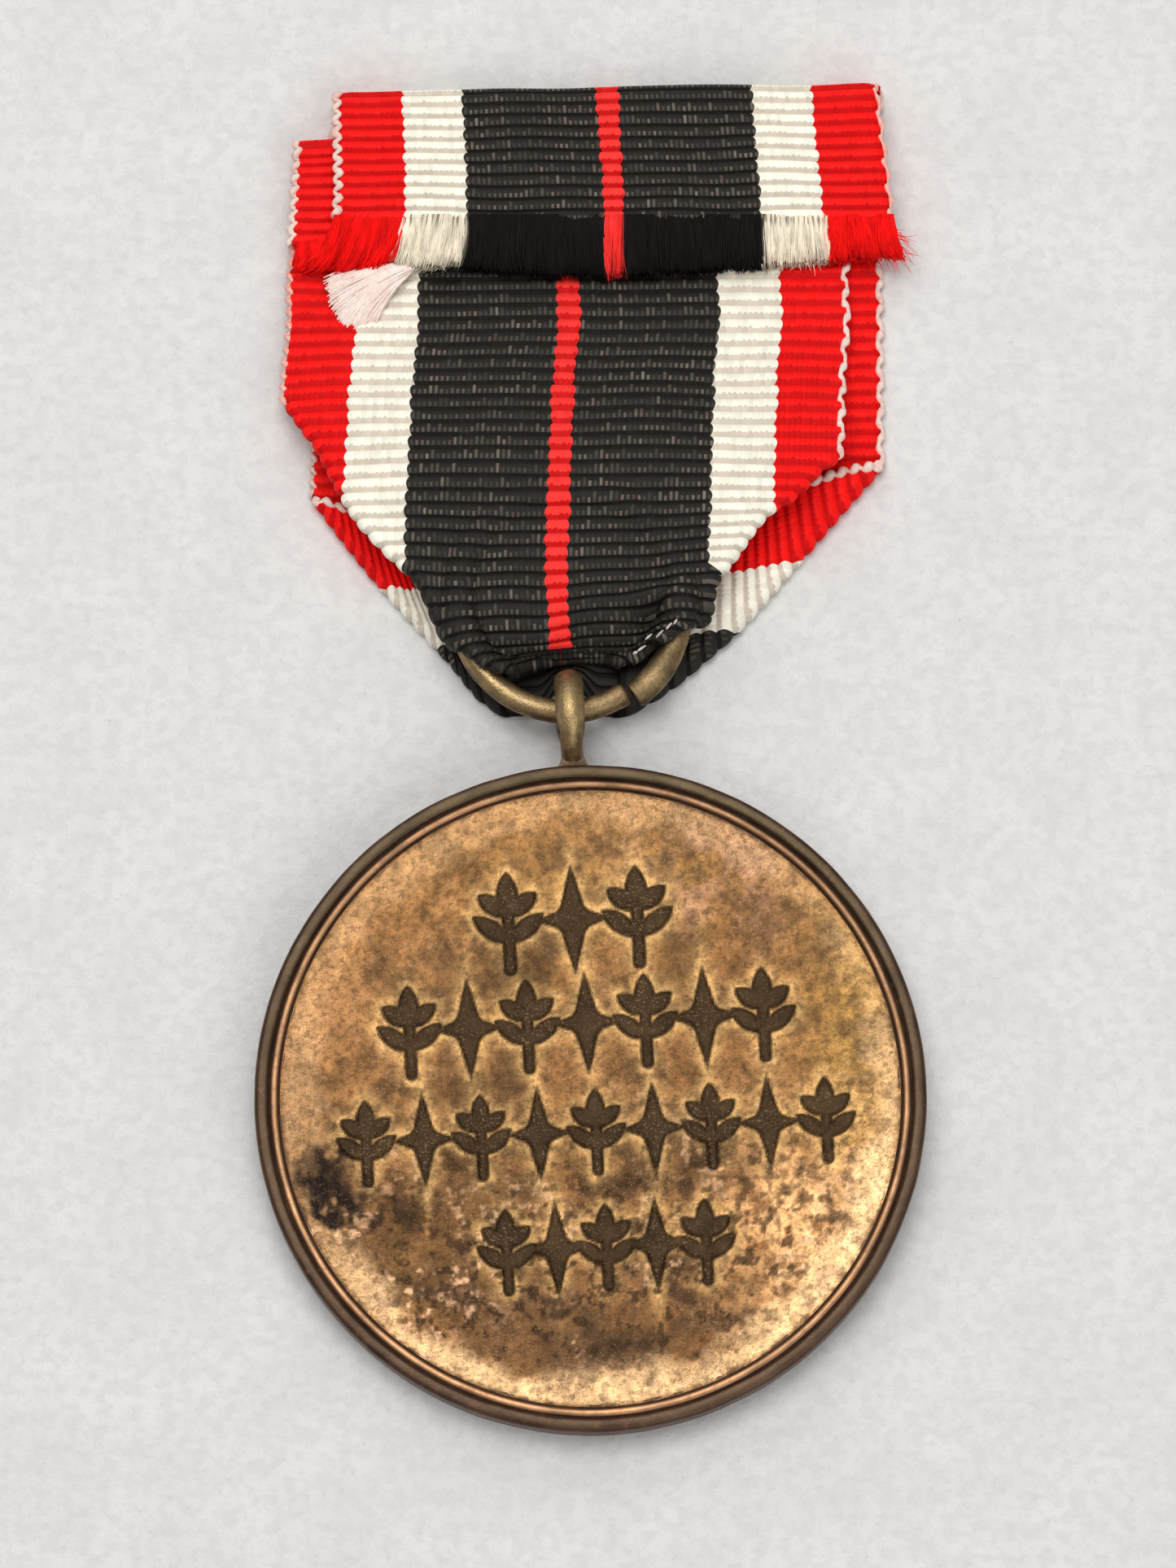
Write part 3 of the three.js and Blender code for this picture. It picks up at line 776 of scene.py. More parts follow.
def front_panel():
    y_path, z_path, s_path = path_by_length(FRONT_PATH)
    top = s_path[np.argmax(y_path)]
    rows, woven = rib_rows(s_path[-1], lambda s: 0.61 if s > top else 0.68)
    y0, z0 = np.interp(rows, s_path, y_path), np.interp(rows, s_path, z_path)
    outer = rows > top
    left = np.where(outer, through(y0, OUTER_LEFT), through(y0, LEFT_EDGE))
    right = np.where(outer, through(y0, OUTER_RIGHT), through(y0, RIGHT_EDGE))
    fraction = np.linspace(0, 1, COLUMNS)
    level = np.ones(COLUMNS)
    u = np.broadcast_to(WIDTH * fraction, (len(rows), COLUMNS)).copy()
    x_flat = left[:, None] + (right - left)[:, None] * fraction
    # Columns crowd to the fold lines on the rows whose sides are folded in.
    lower = (~outer) & (y0 < 31.9)
    fold_l, fold_r = through(y0, LEFT_FOLD), through(y0, RIGHT_FOLD)
    fold_l = np.where(y0 > 30.3, left - 1, fold_l)
    mid = np.zeros((len(rows), COLUMNS, 3))
    for i in range(len(rows)):
        width = right[i] - left[i]
        if not lower[i]:
            mid[i] = np.stack([x_flat[i], y0[i] * level, z0[i] * level], -1)
            continue
        u_l = max(WIDTH * (fold_l[i] - left[i]) / width, 0.0)
        u_r = min(WIDTH * (fold_r[i] - left[i]) / width, WIDTH)
        marks = [0, 20, 30, 78, 88, COLUMNS - 1]
        stops = [0, max(u_l - 0.05, 0.001), u_l + 1.0, u_r - 1.0, min(u_r + 0.05, WIDTH - 0.001), WIDTH]
        u[i] = np.interp(np.arange(COLUMNS), marks, stops)
        x = left[i] + u[i] / WIDTH * width
        points = np.stack([x, y0[i] * level, z0[i] * level], -1)
        for side, fold_x, pull, lean in ((-1, fold_l[i], 1.04, LEFT_LEAN), (1, fold_r[i], 0.96, RIGHT_LEAN)):
            direction = unit(np.array([through(y0[i], lean), 1.0]))
            past = np.clip(side * (x - fold_x) + FLAP_RADIUS, 0, None)
            turn = np.clip(past / FLAP_RADIUS, 0, pi)
            beyond = np.clip(past - pi * FLAP_RADIUS, 0, None)
            use = past > 0
            # From the fold's edge the rib turns from lying level to running up the flap.
            first, second = np.sin(np.minimum(turn, pi / 2)), np.sin(np.maximum(turn, pi / 2))
            bend_x = fold_x + side * FLAP_RADIUS * (first - 1 - 0.2 * (1 - second))
            along = (beyond + np.clip(turn - pi / 2, 0, None) * FLAP_RADIUS) * pull
            points[use, 0] = (bend_x + direction[0] * along)[use]
            points[use, 1] = (y0[i] + direction[1] * along)[use]
            points[use, 2] = (z0[i] + FLAP_RADIUS * (1 - np.cos(turn)) + 0.02 * np.minimum(along, 3))[use]
        mid[i] = points
    # Wavy ribs, and the lowest rows part round the eyelet.
    hem = outer[:, None]
    ripple = 0.045 * waves(mid[..., 0], mid[..., 1], 11, 8.0)
    mid[..., 1] += ripple * np.where(hem, 1.0, 0.6)
    tilt_top = np.where(outer, through(y0, OUTER_TILT), through(y0, FRONT_TILT))
    mid[..., 1] += tilt_top[:, None] * mid[..., 0]
    notch = bell(mid[..., 0], RING_X, 1.1, 4) * smoothstep(22.5, 19.6, mid[..., 1]) * (mid[..., 2] < 0.8)
    mid[..., 1] += notch * 1.35 * ~hem
    ripple_z = np.where(outer, 0.05 * waves(y0, 0, 12, 6.0), 0)
    mid[..., 2] += ripple_z[:, None] + hem * 0.05 * waves(mid[..., 0], mid[..., 1], 13, 6.0)
    turned = 2 * round(float(np.interp(top, rows, woven)) / RIB) * RIB
    # Below the ring the red middle stripe is left out and black coloured across it, as painted shade under the
    # ring and in its hole.
    hole_shade_u = np.where(u < 14.1, np.minimum(u, 7.8), np.maximum(u, 20.2))
    u = np.where((y0 < 25)[:, None] & ~hem, hole_shade_u, u)
    obj, normal = cloth("ribbon_front", mid, u, woven, np.where(outer, turned - woven, woven))
    return obj, mid, normal, rows, y0, top


front, front_mid, front_normal, front_rows, front_y0, front_top = front_panel()


# Selvedges: an undyed thread loops along each woven edge.
def selvedge(name, surface, chosen, side, ribs, swing, wire, material, out=0.05, lift=0.02):
    """A thread along a cloth's left (-1) or right (1) edge, with one loop in that many ribs."""
    mid, normal = surface
    column = 0 if side < 0 else -1
    edge, up = mid[chosen, column], normal[chosen, column]
    inward = unit(edge - mid[chosen, 3 if side < 0 else -4])
    up = up * np.sign(up[:, 2:3] + 1e-6)
    s = running(np.linalg.norm(np.diff(edge, axis=0), axis=1))
    fine = np.arange(0, s[-1], 0.07)
    take = lambda a: np.stack([np.interp(fine, s, a[:, k]) for k in range(3)], -1)
    edge, up, inward = take(edge), unit(take(up)), unit(take(inward))
    seed = sum((i + 1) * ord(c) for i, c in enumerate(name))
    drift = 0.10 * np.sin(fine * 1.7 + seed % 7) + 0.08 * np.sin(fine * 0.63 + seed % 5)
    angle = 2 * pi * fine / (RIB * ribs) + drift
    sway, rise = out + swing * np.sin(angle), lift + 0.09 * np.cos(angle + 0.6)
    line = edge + inward * sway[:, None] + up * rise[:, None]
    beads = 2 * pi * fine / RIB + drift
    radius = wire * (1 + 0.30 * np.sin(beads + 1) + 0.08 * np.sin(fine * 3.1))
    points, faces, _, _ = tubes([line], [radius], 7)
    return piece(name, points, faces, material)


BACK, FRONT = (back_mid, back_normal), (front_mid, front_normal)
back_up = (back_rows > back_bottom) & (back_rows < back_top)
back_down = back_rows > back_top
front_up = front_rows < front_top
front_down = front_rows > front_top
# In twos, left and right: the back's, the inner fold's, the front's, the flaps' and the outer fold's.
edges = [
    selvedge("selvedge_back_left", BACK, back_up & (back_y0 > 34.6), -1, 1.0, 0.10, 0.13, PINK),
    selvedge(
        "selvedge_back_right", BACK, back_up & (back_y0 > 31.75), 1, 2.0, 0.10, 0.155, SELVEDGE, -0.02, 0.12,
    ),
    selvedge("selvedge_inner_left", BACK, back_down, -1, 0.96, 0.13, 0.155, SELVEDGE, 0.06, 0.05),
    selvedge("selvedge_inner_right", BACK, back_down, 1, 1.1, 0.10, 0.12, SELVEDGE),
    selvedge("selvedge_front_left", FRONT, front_up & (front_y0 > 30.3), -1, 1.05, 0.10, 0.11, SELVEDGE),
    selvedge(
        "selvedge_front_right", FRONT, front_up & (front_y0 > 31.9), 1, 2.0, 0.10, 0.155, SELVEDGE, -0.02, 0.12,
    ),
    selvedge(
        "selvedge_flap_left", FRONT, front_up & (front_y0 < 30.3), -1, 1.0, 0.10, 0.15, SELVEDGE, 0.05, 0.10,
    ),
    selvedge(
        "selvedge_flap_right", FRONT, front_up & (front_y0 < 31.95), 1, 1.0, 0.10, 0.19, SELVEDGE, 0.05, 0.12,
    ),
    selvedge("selvedge_outer_left", FRONT, front_down, -1, 0.93, 0.14, 0.155, SELVEDGE, 0.06, 0.06),
    selvedge("selvedge_outer_right", FRONT, front_down, 1, 1.9, 0.08, 0.11, PINK, 0.04, 0.02),
]


# Frayed ends: a soft bed of fibres under loose strands that hang in clumps and roll under.
def fringe(name, left, right, start_y, end_line, z_start, z_end, thick, clumps, seed, splay, hide=0.0):
    splay_left, splay_right = splay
    r = np.random.default_rng(seed)

    def fan(f, s):
        out_right, out_left = np.clip(2 * f - 1, 0, 1) ** 4, np.clip(1 - 2.4 * f, 0, 1) ** 2
        return s**1.25 * (splay_right * out_right - splay_left * out_left)

    low = lambda x, f: through(x, end_line) + hide * smoothstep(0.18, 0.30, f)
    rows, cols = 18, 150
    f = np.linspace(0, 1, cols)[None]
    s = np.linspace(0, 1, rows)[:, None]
    x = left + (right - left) * f + fan(f, s)
    y = start_y + (low(x, f) + 0.18 + 0.16 * waves(x, 0, seed, 1.3) - start_y) * s
    z = z_start + (z_end - z_start) * s**1.5 + 0.07 * waves(x, y, seed + 1, 1.8)
    mid = np.stack([x, y, z], -1)
    normal = normals(mid)
    normal = normal * np.sign(normal[..., 2:3])
    mound = np.clip(np.sin(np.clip(s + 0.06, 0, 1) * pi), 0, 1) ** 0.45
    half = np.clip(thick * mound * (0.75 + 0.5 * cells(x, y * 0.2, seed, 0.5)), 0.03, None)[..., None]
    uv = np.stack([WIDTH * f + 0 * s, FRINGE_V + 3 * s + 0 * f], -1).reshape(-1, 2)
    bed = piece(
        name + "_bed", slab(mid, half, normal), slab_faces(rows, cols), FRAYED, np.concatenate([uv, uv]),
    )
    lines, radii, us = [], [], []
    k = np.linspace(0, 1, 8)
    for _ in range(clumps):
        a0, drift0, high0, long0 = r.random(), 0.13 * r.standard_normal(), r.random(), 0.92 + 0.12 * r.random()
        bend, phase = 0.03 + 0.06 * r.random(), 6 * r.random()
        for _ in range(11):
            a = float(np.clip(a0 + 0.0062 * r.standard_normal(), 0, 1))
            x0 = left + (right - left) * a
            length = (start_y - float(low(np.array(x0), np.array(a)))) * long0 * (0.93 + 0.12 * r.random())
            drift = drift0 + 0.05 * r.standard_normal()
            high = 0.03 + thick * (0.55 + 0.55 * high0 + 0.2 * r.random())
            gather = (a0 - a) * (right - left) * 0.35 * k**2
            xs = x0 + fan(a, k) + drift * k**1.5 + gather + bend * np.sin(k * 6 + phase)
            ys = start_y + 0.12 - length * np.sin(np.minimum(k * 1.12, 1.0) * pi / 2) ** 1.1
            arch = np.clip(np.sin(np.clip(k * 0.94 + 0.08, 0, 1) * pi), 0, 1) ** 0.5
            zs = z_start + (z_end - z_start) * k**1.5 + high * arch - 0.22 * k**5
            lines.append(np.stack([xs, ys, zs], -1))
            radii.append((0.028 + 0.022 * r.random()) * np.linspace(1.1, 0.6, 8))
            us.append(WIDTH * a)
    points, faces, owner, along = tubes(lines, radii, 3)
    uv = np.stack([np.array(us)[owner], FRINGE_V + 3 * along], -1)
    return bed, piece(name + "_strands", points, faces, FRAYED, uv)


OUTER_END = [
    (-15, 41.75), (-12, 41.6), (-6.3, 41.72), (-5, 41.5), (0.4, 41.25), (5, 41.45), (10.7, 41.92),
    (14.9, 42.25), (16, 42.6),
]
INNER_END = [(-15, 41.65), (-12, 41.6), (14, 41.8)]
outer_bed, outer_strands = fringe(
    "outer_fringe", -12.62, 14.98, float(front_y0[-1]) + 0.28, OUTER_END, 2.24, 1.55, 0.34, 300, 21, (1.7, 0.6),
)
inner_bed, inner_strands = fringe(
    "inner_fringe", -14.5, 13.3, float(back_y0[-1]) + 0.25, INNER_END, 1.52, 1.20, 0.28, 130, 22, (0.35, 0.1),
    0.75,
)


TUFT_LENGTHS = [(0, 4.35), (0.3, 4.25), (0.55, 4.25), (0.8, 4.0), (1, 2.9)]
TUFT_LOCKS, TUFT_LOCK_FIBRES = 19, 46
FIBRE_TAPER = np.array([1, 1.1, 1.15, 1.15, 1.1, 1.1, 1.0, 0.9, 0.75, 0.45])


def walk(start, angle, step):
    """x and y along a fibre that starts at a point and heads off at each angle in turn."""
    return start[0] + running(np.cos(angle[1:]) * step), start[1] + running(np.sin(angle[1:]) * step)


def tuft():
    """A bunch of loose white fibres from the inner end, in soft locks fanned out to the left."""
    r = np.random.default_rng(31)
    lines, radii = [], []
    k = np.linspace(0, 1, 10)
    for lock in range(TUFT_LOCKS):
        place = (lock + 0.5) / TUFT_LOCKS
        wave, phase, lift = 0.05 + 0.07 * r.random(), 6 * r.random(), r.random()
        for _ in range(TUFT_LOCK_FIBRES):
            a = float(np.clip(place + 0.026 * r.standard_normal(), 0, 1))
            start = np.array([-8.95 + 0.4 * r.random() - 0.3 * a, 42.0 - 0.40 * a, 1.62 + 0.10 * r.random()])
            length = float(through(a, TUFT_LENGTHS)) * (0.94 + 0.09 * r.random())
            angle = np.radians(177 + 44 * a + 2.0 * r.standard_normal() + (27 - 6 * a) * k)
            side = (wave * np.sin(5 * k + phase) + 0.02 * r.standard_normal() * k) * k
            xs, ys = walk(start, angle, length / 9)
            xs, ys = xs - np.sin(angle) * side, ys + np.cos(angle) * side
            mound = np.sin(np.clip(k * 0.88 + 0.1, 0, 1) * pi) * (0.40 * sin(pi * a) + 0.14)
            zs = start[2] - 0.18 * k + mound * (0.45 + 0.35 * lift + 0.3 * r.random())
            lines.append(np.stack([xs, ys, zs], -1))
            radii.append((0.045 + 0.035 * r.random()) * FIBRE_TAPER)
    points, faces, _, _ = tubes(lines, radii, 4)
    return piece("fibre_tuft_strands", points, faces, COTTON)


tuft_piece = tuft()


def stray_fibres():
    """Single fibres standing off the frayed ends."""
    r = np.random.default_rng(41)
    lines, radii, us = [], [], []
    for i in range(104):
        if i >= 90:
            start = (-6.9 + 0.8 * r.random(), 41.75, 1.85)
            heading, length, u = r.uniform(195, 240), r.uniform(0.8, 1.9), 12.0
        elif i < 34:
            start = (14.6 + 0.8 * r.random(), 42.2 + 1.6 * r.random(), 1.9)
            heading, length, u = r.uniform(-75, -10), r.uniform(0.5, 1.5), 27.6
        else:
            x = r.uniform(-12.5, 15)
            start = (x, 41.95 + 0.2 * r.random(), 1.75)
            heading, length, u = r.uniform(-130, -50), r.uniform(0.2, 0.6), (x + 12.75) / 27.85 * WIDTH
        k = np.linspace(0, 1, 6)
        angle = np.radians(heading) + r.uniform(-0.8, 0.8) * k
        xs, ys = walk(start, angle, length / 5)
        zs = start[2] + r.uniform(-0.1, 0.2) + r.uniform(-0.3, 0.1) * k
        lines.append(np.stack([xs, ys, zs], -1))
        radii.append(np.linspace(0.022, 0.008, 6))
        us.append(u)
    points, faces, owner, along = tubes(lines, radii, 3)
    return piece(
        "stray_fibres", points, faces, FRAYED, np.stack([np.array(us)[owner], FRINGE_V + 3 * along], -1),
    )


strays = stray_fibres()


def glints():
    """Broken white filaments in the crumple beside the ring."""
    dashes = [
        (2.5, 22.1, 35, 0.5), (2.85, 22.6, 40, 0.45), (3.38, 22.62, 48, 0.5), (3.83, 22.98, 50, 0.42),
        (4.15, 23.2, 58, 0.3),
        (2.2, 21.9, 25, 0.25),
    ]
    surface = back_mid[back_up].reshape(-1, 3)
    lines, radii = [], []
    for x, y, heading, length in dashes:
        below = surface[np.hypot(surface[:, 0] - x, surface[:, 1] - y) < 0.3, 2]
        middle = np.array([x, y, below.max(initial=2.6) + CREST_HALF + 0.02])
        k = np.linspace(-0.5, 0.5, 5)[:, None]
        way = np.array([cos(radians(heading)), sin(radians(heading)), 0])
        lines.append(middle + k * length * way + [0, 0, 0.05] * np.cos(k * 3))
        radii.append(np.array([0.03, 0.06, 0.07, 0.055, 0.03]))
    points, faces, _, _ = tubes(lines, radii, 5, 0.6)
    return piece("white_filaments", points, faces, GLINT)


glint_piece = glints()


# ---- Disc ----

DISC_RADIUS, RIM_TOP = 16.25, 1.15
FIELD_RADIUS, FIELD_TOP = 15.0, 0.80
RELIEF = 0.16  # how far the ornament stands above the field
EYELET_REACH = 18.74  # from the disc's middle to the loop's
EYELET_LOOP, EYELET_WIRE = 1.8, 0.65  # radii of the loop's middle line and of its wire
EYELET_HEIGHT = EYELET_LOOP + EYELET_WIRE
TURN = radians(3)
TILT = asin((EYELET_HEIGHT - RIM_TOP) / (DISC_RADIUS + EYELET_REACH))  # lying on its lower edge and its eyelet
DISC_LIFT = EYELET_HEIGHT - EYELET_REACH * sin(TILT)


def in_disc(points):
    """From the disc's own axes to the frame's: turned, tilted on to its lower edge, and raised."""
    points = np.asarray(points, float)
    c, s = cos(TURN), sin(TURN)
    x, y, z = points[..., 0] * c - points[..., 1] * s, points[..., 0] * s + points[..., 1] * c, points[..., 2]
    c, s = cos(TILT), sin(TILT)
    return np.stack([x, y * c - z * s, y * s + z * c + DISC_LIFT], -1)


def leaf_distance(x, y, cx, cy, angle, length, width):
    """Signed distance to a pointed leaf, centred at (cx, cy)."""
    dx, dy = x - cx, y - cy
    a, b = dx * cos(angle) + dy * sin(angle), dy * cos(angle) - dx * sin(angle)
    half, wide = length / 2, width / 2
    radius = (half**2 + wide**2) / (2 * wide)
    return np.maximum(np.hypot(a, b - (radius - wide)), np.hypot(a, b + (radius - wide))) - radius


def bar_distance(x, y, x0, y0, x1, y1, wide):
    dx, dy = x1 - x0, y1 - y0
    t = np.clip(((x - x0) * dx + (y - y0) * dy) / (dx * dx + dy * dy), 0, 1)
    return np.hypot(x - x0 - t * dx, y - y0 - t * dy) - wide / 2


def sprig_distance(x, y, cx, cy, h):
    """An upright sprig of five leaves on a stem."""
    parts = [
        bar_distance(x, y, cx, cy - h / 2, cx, cy + h * 0.2, 0.085 * h),
        leaf_distance(x, y, cx, cy + h * 0.26, pi / 2, h * 0.5, h * 0.19),
    ]
    for side in (-1, 1):
        for up, size in ((-0.20, 0.42), (0.08, 0.34)):
            length, slope = h * size, radians(38)
            leaf_x = cx + side * (0.02 * h + cos(slope) * length / 2)
            leaf_y = cy + up * h + sin(slope) * length / 2
            parts.append(leaf_distance(x, y, leaf_x, leaf_y, pi / 2 - side * radians(52), length, h * 0.155))
    return np.minimum.reduce(parts)


def lozenge_distance(x, y, cx, cy, h):
    """A star of four long points with a lozenge between."""
    dx, dy = np.abs(x - cx), np.abs(y - cy)
    shape = lambda a, b: (dx / a + dy / b - 1) * a * b / hypot(a, b)
    return np.minimum.reduce([shape(0.135 * h, 0.5 * h), shape(0.33 * h, 0.125 * h), shape(0.21 * h, 0.25 * h)])


# Rows of ornament: middle, height on the disc, width, number of motifs and their height.
ROWS = [(-0.4, 8.7, 9.4, 3, 4.6), (0, 3.6, 20, 7, 4.2), (0.2, -1.7, 25, 9, 3.8), (0.4, -7.3, 12, 5, 3.8)]


def reverse_distance(x, y):
    parts = []
    for middle, row_y, width, motifs, height in ROWS:
        pitch = width / motifs
        for i in range(motifs):
            cx = middle + (i - (motifs - 1) / 2) * pitch
            motif = lozenge_distance if i % 2 else sprig_distance
            parts.append(motif(x, y, cx, row_y, height))
    return np.minimum.reduce(parts)


def obverse_distance(x, y):
    """A wreath of paired leaves, open at the top, round a five-pointed star."""
    parts = []
    for side in (-1, 1):
        for i in range(11):
            angle = -pi / 2 + side * radians(12 + i * 14)
            for row in (-1, 1):
                radius, heading = 11.2 + row * 0.45, angle + side * pi / 2 - side * row * radians(24)
                parts.append(leaf_distance(x, y, radius * cos(angle), radius * sin(angle), heading, 2.7, 0.85))
    angle = np.mod(np.arctan2(x, y) + pi / 5, 2 * pi / 5) - pi / 5
    r = np.hypot(x, y)
    px, py = r * np.cos(angle), np.abs(r * np.sin(angle))
    point, dip = 6.0, 2.6  # the star's radii
    nx, ny = dip * sin(pi / 5), point - dip * cos(pi / 5)
    parts.append(((px - point) * nx + py * ny) / hypot(nx, ny))
    return np.minimum.reduce(parts)


def reverse_tone_and_painted_light(x, y, d, relief):
    """Colour and roughness of the visible face: gold halos, pink copper, brown stains, painted reflections of
    the light, and painted shade round the relief.
    """
    r = np.hypot(x, y)
    big, mid_size, small = cloudy(x, y, 61, 7.0, 3), cloudy(x, y, 71, 2.2, 4), cloudy(x, y, 81, 0.7, 3)
    base = np.array([0.47, 0.235, 0.095]) * (0.84 + 0.32 * big)[..., None]

    def blend(colour, amount):
        nonlocal base
        base = toward(base, colour, np.clip(amount, 0, 1))

    spot = lambda cx, cy, w, h: bell(x, cx, w) * bell(y, cy, h)
    low_side = smoothstep(4, -10, y)
    wander, jitter = mid_size - 0.5, small - 0.5
    # A crescent of painted reflection along the field's lower edge, strongest low on the right.
    painted_crescent_reflection = smoothstep(12.9, 14.1, r + 2.2 * wander + 0.8 * jitter) * smoothstep(15.1, 14.7, r)
    reflection_facing = 0.30 + 0.70 * smoothstep(0.0, 0.6, np.cos(np.arctan2(y, x) + radians(72)))
    blend(
        [0.27, 0.150, 0.066],
        0.80 * spot(-2.5, -3.0, 10.5, 6.5) * smoothstep(0.30, 0.62, big * 0.5 + mid_size * 0.5),
    )
    blend([0.24, 0.135, 0.060], 0.85 * spot(-8.5, -9.0, 4.0, 4.0) * smoothstep(0.25, 0.55, mid_size))
    blend([0.30, 0.185, 0.075], 0.75 * spot(-1.0, 6.3, 9.5, 1.7) * smoothstep(0.35, 0.6, mid_size))
    blend([0.50, 0.29, 0.10], 0.70 * spot(0.5, 11.0, 8.5, 3.2) * (0.6 + 0.6 * mid_size))
    # Painted reflection of the light down the right side of the field; the same gold is dabbed near the top.
    blend([0.60, 0.37, 0.11], 0.75 * spot(13.0, 2.0, 2.4, 6.5) + 0.6 * spot(3.4, 9.3, 2.4, 1.6))
    blend([0.22, 0.128, 0.066], 0.55 * smoothstep(0.53, 0.66, cloudy(x, y, 101, 1.7, 4)) * (1 - 0.5 * low_side))
    blend([0.66, 0.37, 0.26], 0.80 * spot(6.2, 10.6, 4.0, 2.6) * smoothstep(0.42, 0.60, mid_size))
    blend(
        [0.20, 0.115, 0.062], 0.70 * spot(6.0, 10.5, 4.6, 3.0) * smoothstep(0.50, 0.64, small * 0.4 + big * 0.6),
    )
    # Painted reflection of the light on the left side of the field.
    blend([0.60, 0.31, 0.135], 0.55 * spot(-12.6, 4.5, 2.6, 5.5) + 0.30 * spot(-11.0, 6.5, 5.5, 5))
    blend([0.22, 0.115, 0.060], 0.75 * spot(-0.5, -12.4, 7.5, 2.8) * (0.4 + 0.8 * big))
    blend(
        [0.62, 0.36, 0.24],
        0.65 * spot(-2, -11.5, 8, 3.4) * smoothstep(0.46, 0.62, small * 0.5 + mid_size * 0.5),
    )
    # Painted reflection: a bright patch low on the right of the field.
    blend(
        [1.0, 0.60, 0.31],
        1.1 * spot(10.3, -6.8, 4.0, 4.5) * smoothstep(0.34, 0.54, small * 0.5 + mid_size * 0.5),
    )
    # Painted reflection: the bright crescent along the field's lower edge.
    blend([1.0, 0.68, 0.40], 0.98 * painted_crescent_reflection * reflection_facing * (0.65 + 0.5 * mid_size))
    halo = np.exp(-((np.clip(d, 0, None) / 0.42) ** 1.6)) * (1 - relief)
    blend([0.86, 0.56, 0.25], 0.95 * halo * (0.55 + 0.7 * mid_size))
    blot = spot(-12.9 + 5 * wander, -3.4 + 5 * jitter, 1.35, 2.0)
    blot = blot + 0.55 * spot(-10.9 + 6 * jitter, -5.0 + 5 * wander, 2.4, 1.0)
    blend([0.056, 0.037, 0.032], 1.7 * blot * smoothstep(0.30, 0.50, cloudy(x, y, 121, 0.9, 3)))
    blend(
        [0.17, 0.098, 0.048],
        0.75 * spot(0.5, -11.3, 5.5, 2.1) * smoothstep(0.36, 0.56, small * 0.6 + mid_size * 0.4),
    )
    blend([0.14, 0.078, 0.042], 0.85 * spot(5.7, -3.1, 1.7, 1.3) * smoothstep(0.30, 0.55, mid_size))
    stains = spot(3.2, -7.6, 2.2, 1.4) + spot(-3.3, 6.3, 2.2, 1.4)
    stains = stains + spot(-2.5, 0.6, 3.2, 1.1) + spot(6.0, 10.9, 1.5, 0.8)
    blend([0.16, 0.088, 0.046], 0.65 * stains * smoothstep(0.38, 0.60, mid_size))
    # Brown and light specks, closest together on the lower side.
    brown = smoothstep(0.55, 0.66, small * 0.5 + mid_size * 0.5) * (1 - 0.8 * painted_crescent_reflection)
    blend([0.15, 0.082, 0.044], 0.80 * brown * (0.4 + 0.6 * low_side))
    light = smoothstep(0.60, 0.72, cloudy(x, y, 91, 0.32, 2)) * smoothstep(0.40, 0.60, cloudy(x, y, 97, 3.0, 2))
    blend([0.86, 0.56, 0.38], 0.75 * light * (0.15 + 0.85 * low_side))
    dark = smoothstep(0.58, 0.68, cloudy(x, y, 95, 0.40, 3)) * (1 - 0.7 * painted_crescent_reflection)
    blend([0.10, 0.054, 0.028], 0.75 * dark * (0.25 + 0.75 * low_side))
    blend([0.125, 0.084, 0.048], 0.93 * relief)
    # Painted shade: a dark line round the foot of the relief.
    blend([0.045, 0.026, 0.014], 0.8 * bell(d, 0.03, 0.06))
    base = base * (0.66 + 0.68 * cloudy(x, y, 111, 0.55, 3))[..., None]
    base = base * (base.mean(axis=-1, keepdims=True) / 0.27) ** 0.5
    base = base * np.array([0.745, 0.705, 0.605])
    dull = 0.46 + 0.10 * mid_size + 0.06 * relief - 0.07 * smoothstep(11, 14.5, r)
    return base, dull


def obverse_toning(x, y, d, relief):
    """Colour and roughness of the hidden face: browner, with the relief worn light."""
    big, mid_size = cloudy(x, y, 161, 6.0, 3), cloudy(x, y, 171, 1.8, 4)
    base = np.array([0.43, 0.22, 0.095]) * (0.8 + 0.4 * big)[..., None]
    base = toward(base, [0.20, 0.11, 0.055], 0.6 * smoothstep(0.5, 0.7, mid_size))
    halo = np.exp(-np.clip(d, 0, None) / 0.5) * (1 - relief)
    base = toward(base, [0.62, 0.37, 0.13], 0.25 * halo)
    base = toward(base, [0.70, 0.44, 0.20], 0.85 * relief)
    base = toward(base, [0.085, 0.048, 0.024], 0.75 * bell(d, 0.10, 0.14))
    return base * np.array([0.66, 0.64, 0.58]), 0.45 + 0.12 * mid_size


def face(name, count, distance, tone_and_painted_light, up):
    """One struck face: a fine grid over the field, raised where the relief is."""
    a = np.linspace(-1, 1, count)
    gx, gy = np.meshgrid(a, a)
    x, y = gx * np.sqrt(1 - gy**2 / 2) * FIELD_RADIUS, gy * np.sqrt(1 - gx**2 / 2) * FIELD_RADIUS
    d = distance(x, y) - 0.05
    relief = smoothstep(0.075, -0.075, d)
    dish = 0.02 - 0.02 * (np.hypot(x, y) / FIELD_RADIUS) ** 2
    pitting = 0.012 * (cloudy(x, y, 51, 1.2, 3) - 0.5) + 0.008 * (cloudy(x, y, 55, 0.3, 2) - 0.5)
    z = FIELD_TOP + dish + RELIEF * relief + pitting
    colour, dull = tone_and_painted_light(x, y, d, relief)
    points = np.stack([x if up > 0 else -x, y, z * up], -1)
    values = {"tone_and_painted_light": colour.reshape(-1, 3), "dullness": dull.ravel()}
    return piece(name, in_disc(points), grid_faces(count, count), FACE, values=values)


reverse = face("disc_reverse", 312, reverse_distance, reverse_tone_and_painted_light, 1)
obverse = face("disc_obverse", 220, obverse_distance, obverse_toning, -1)


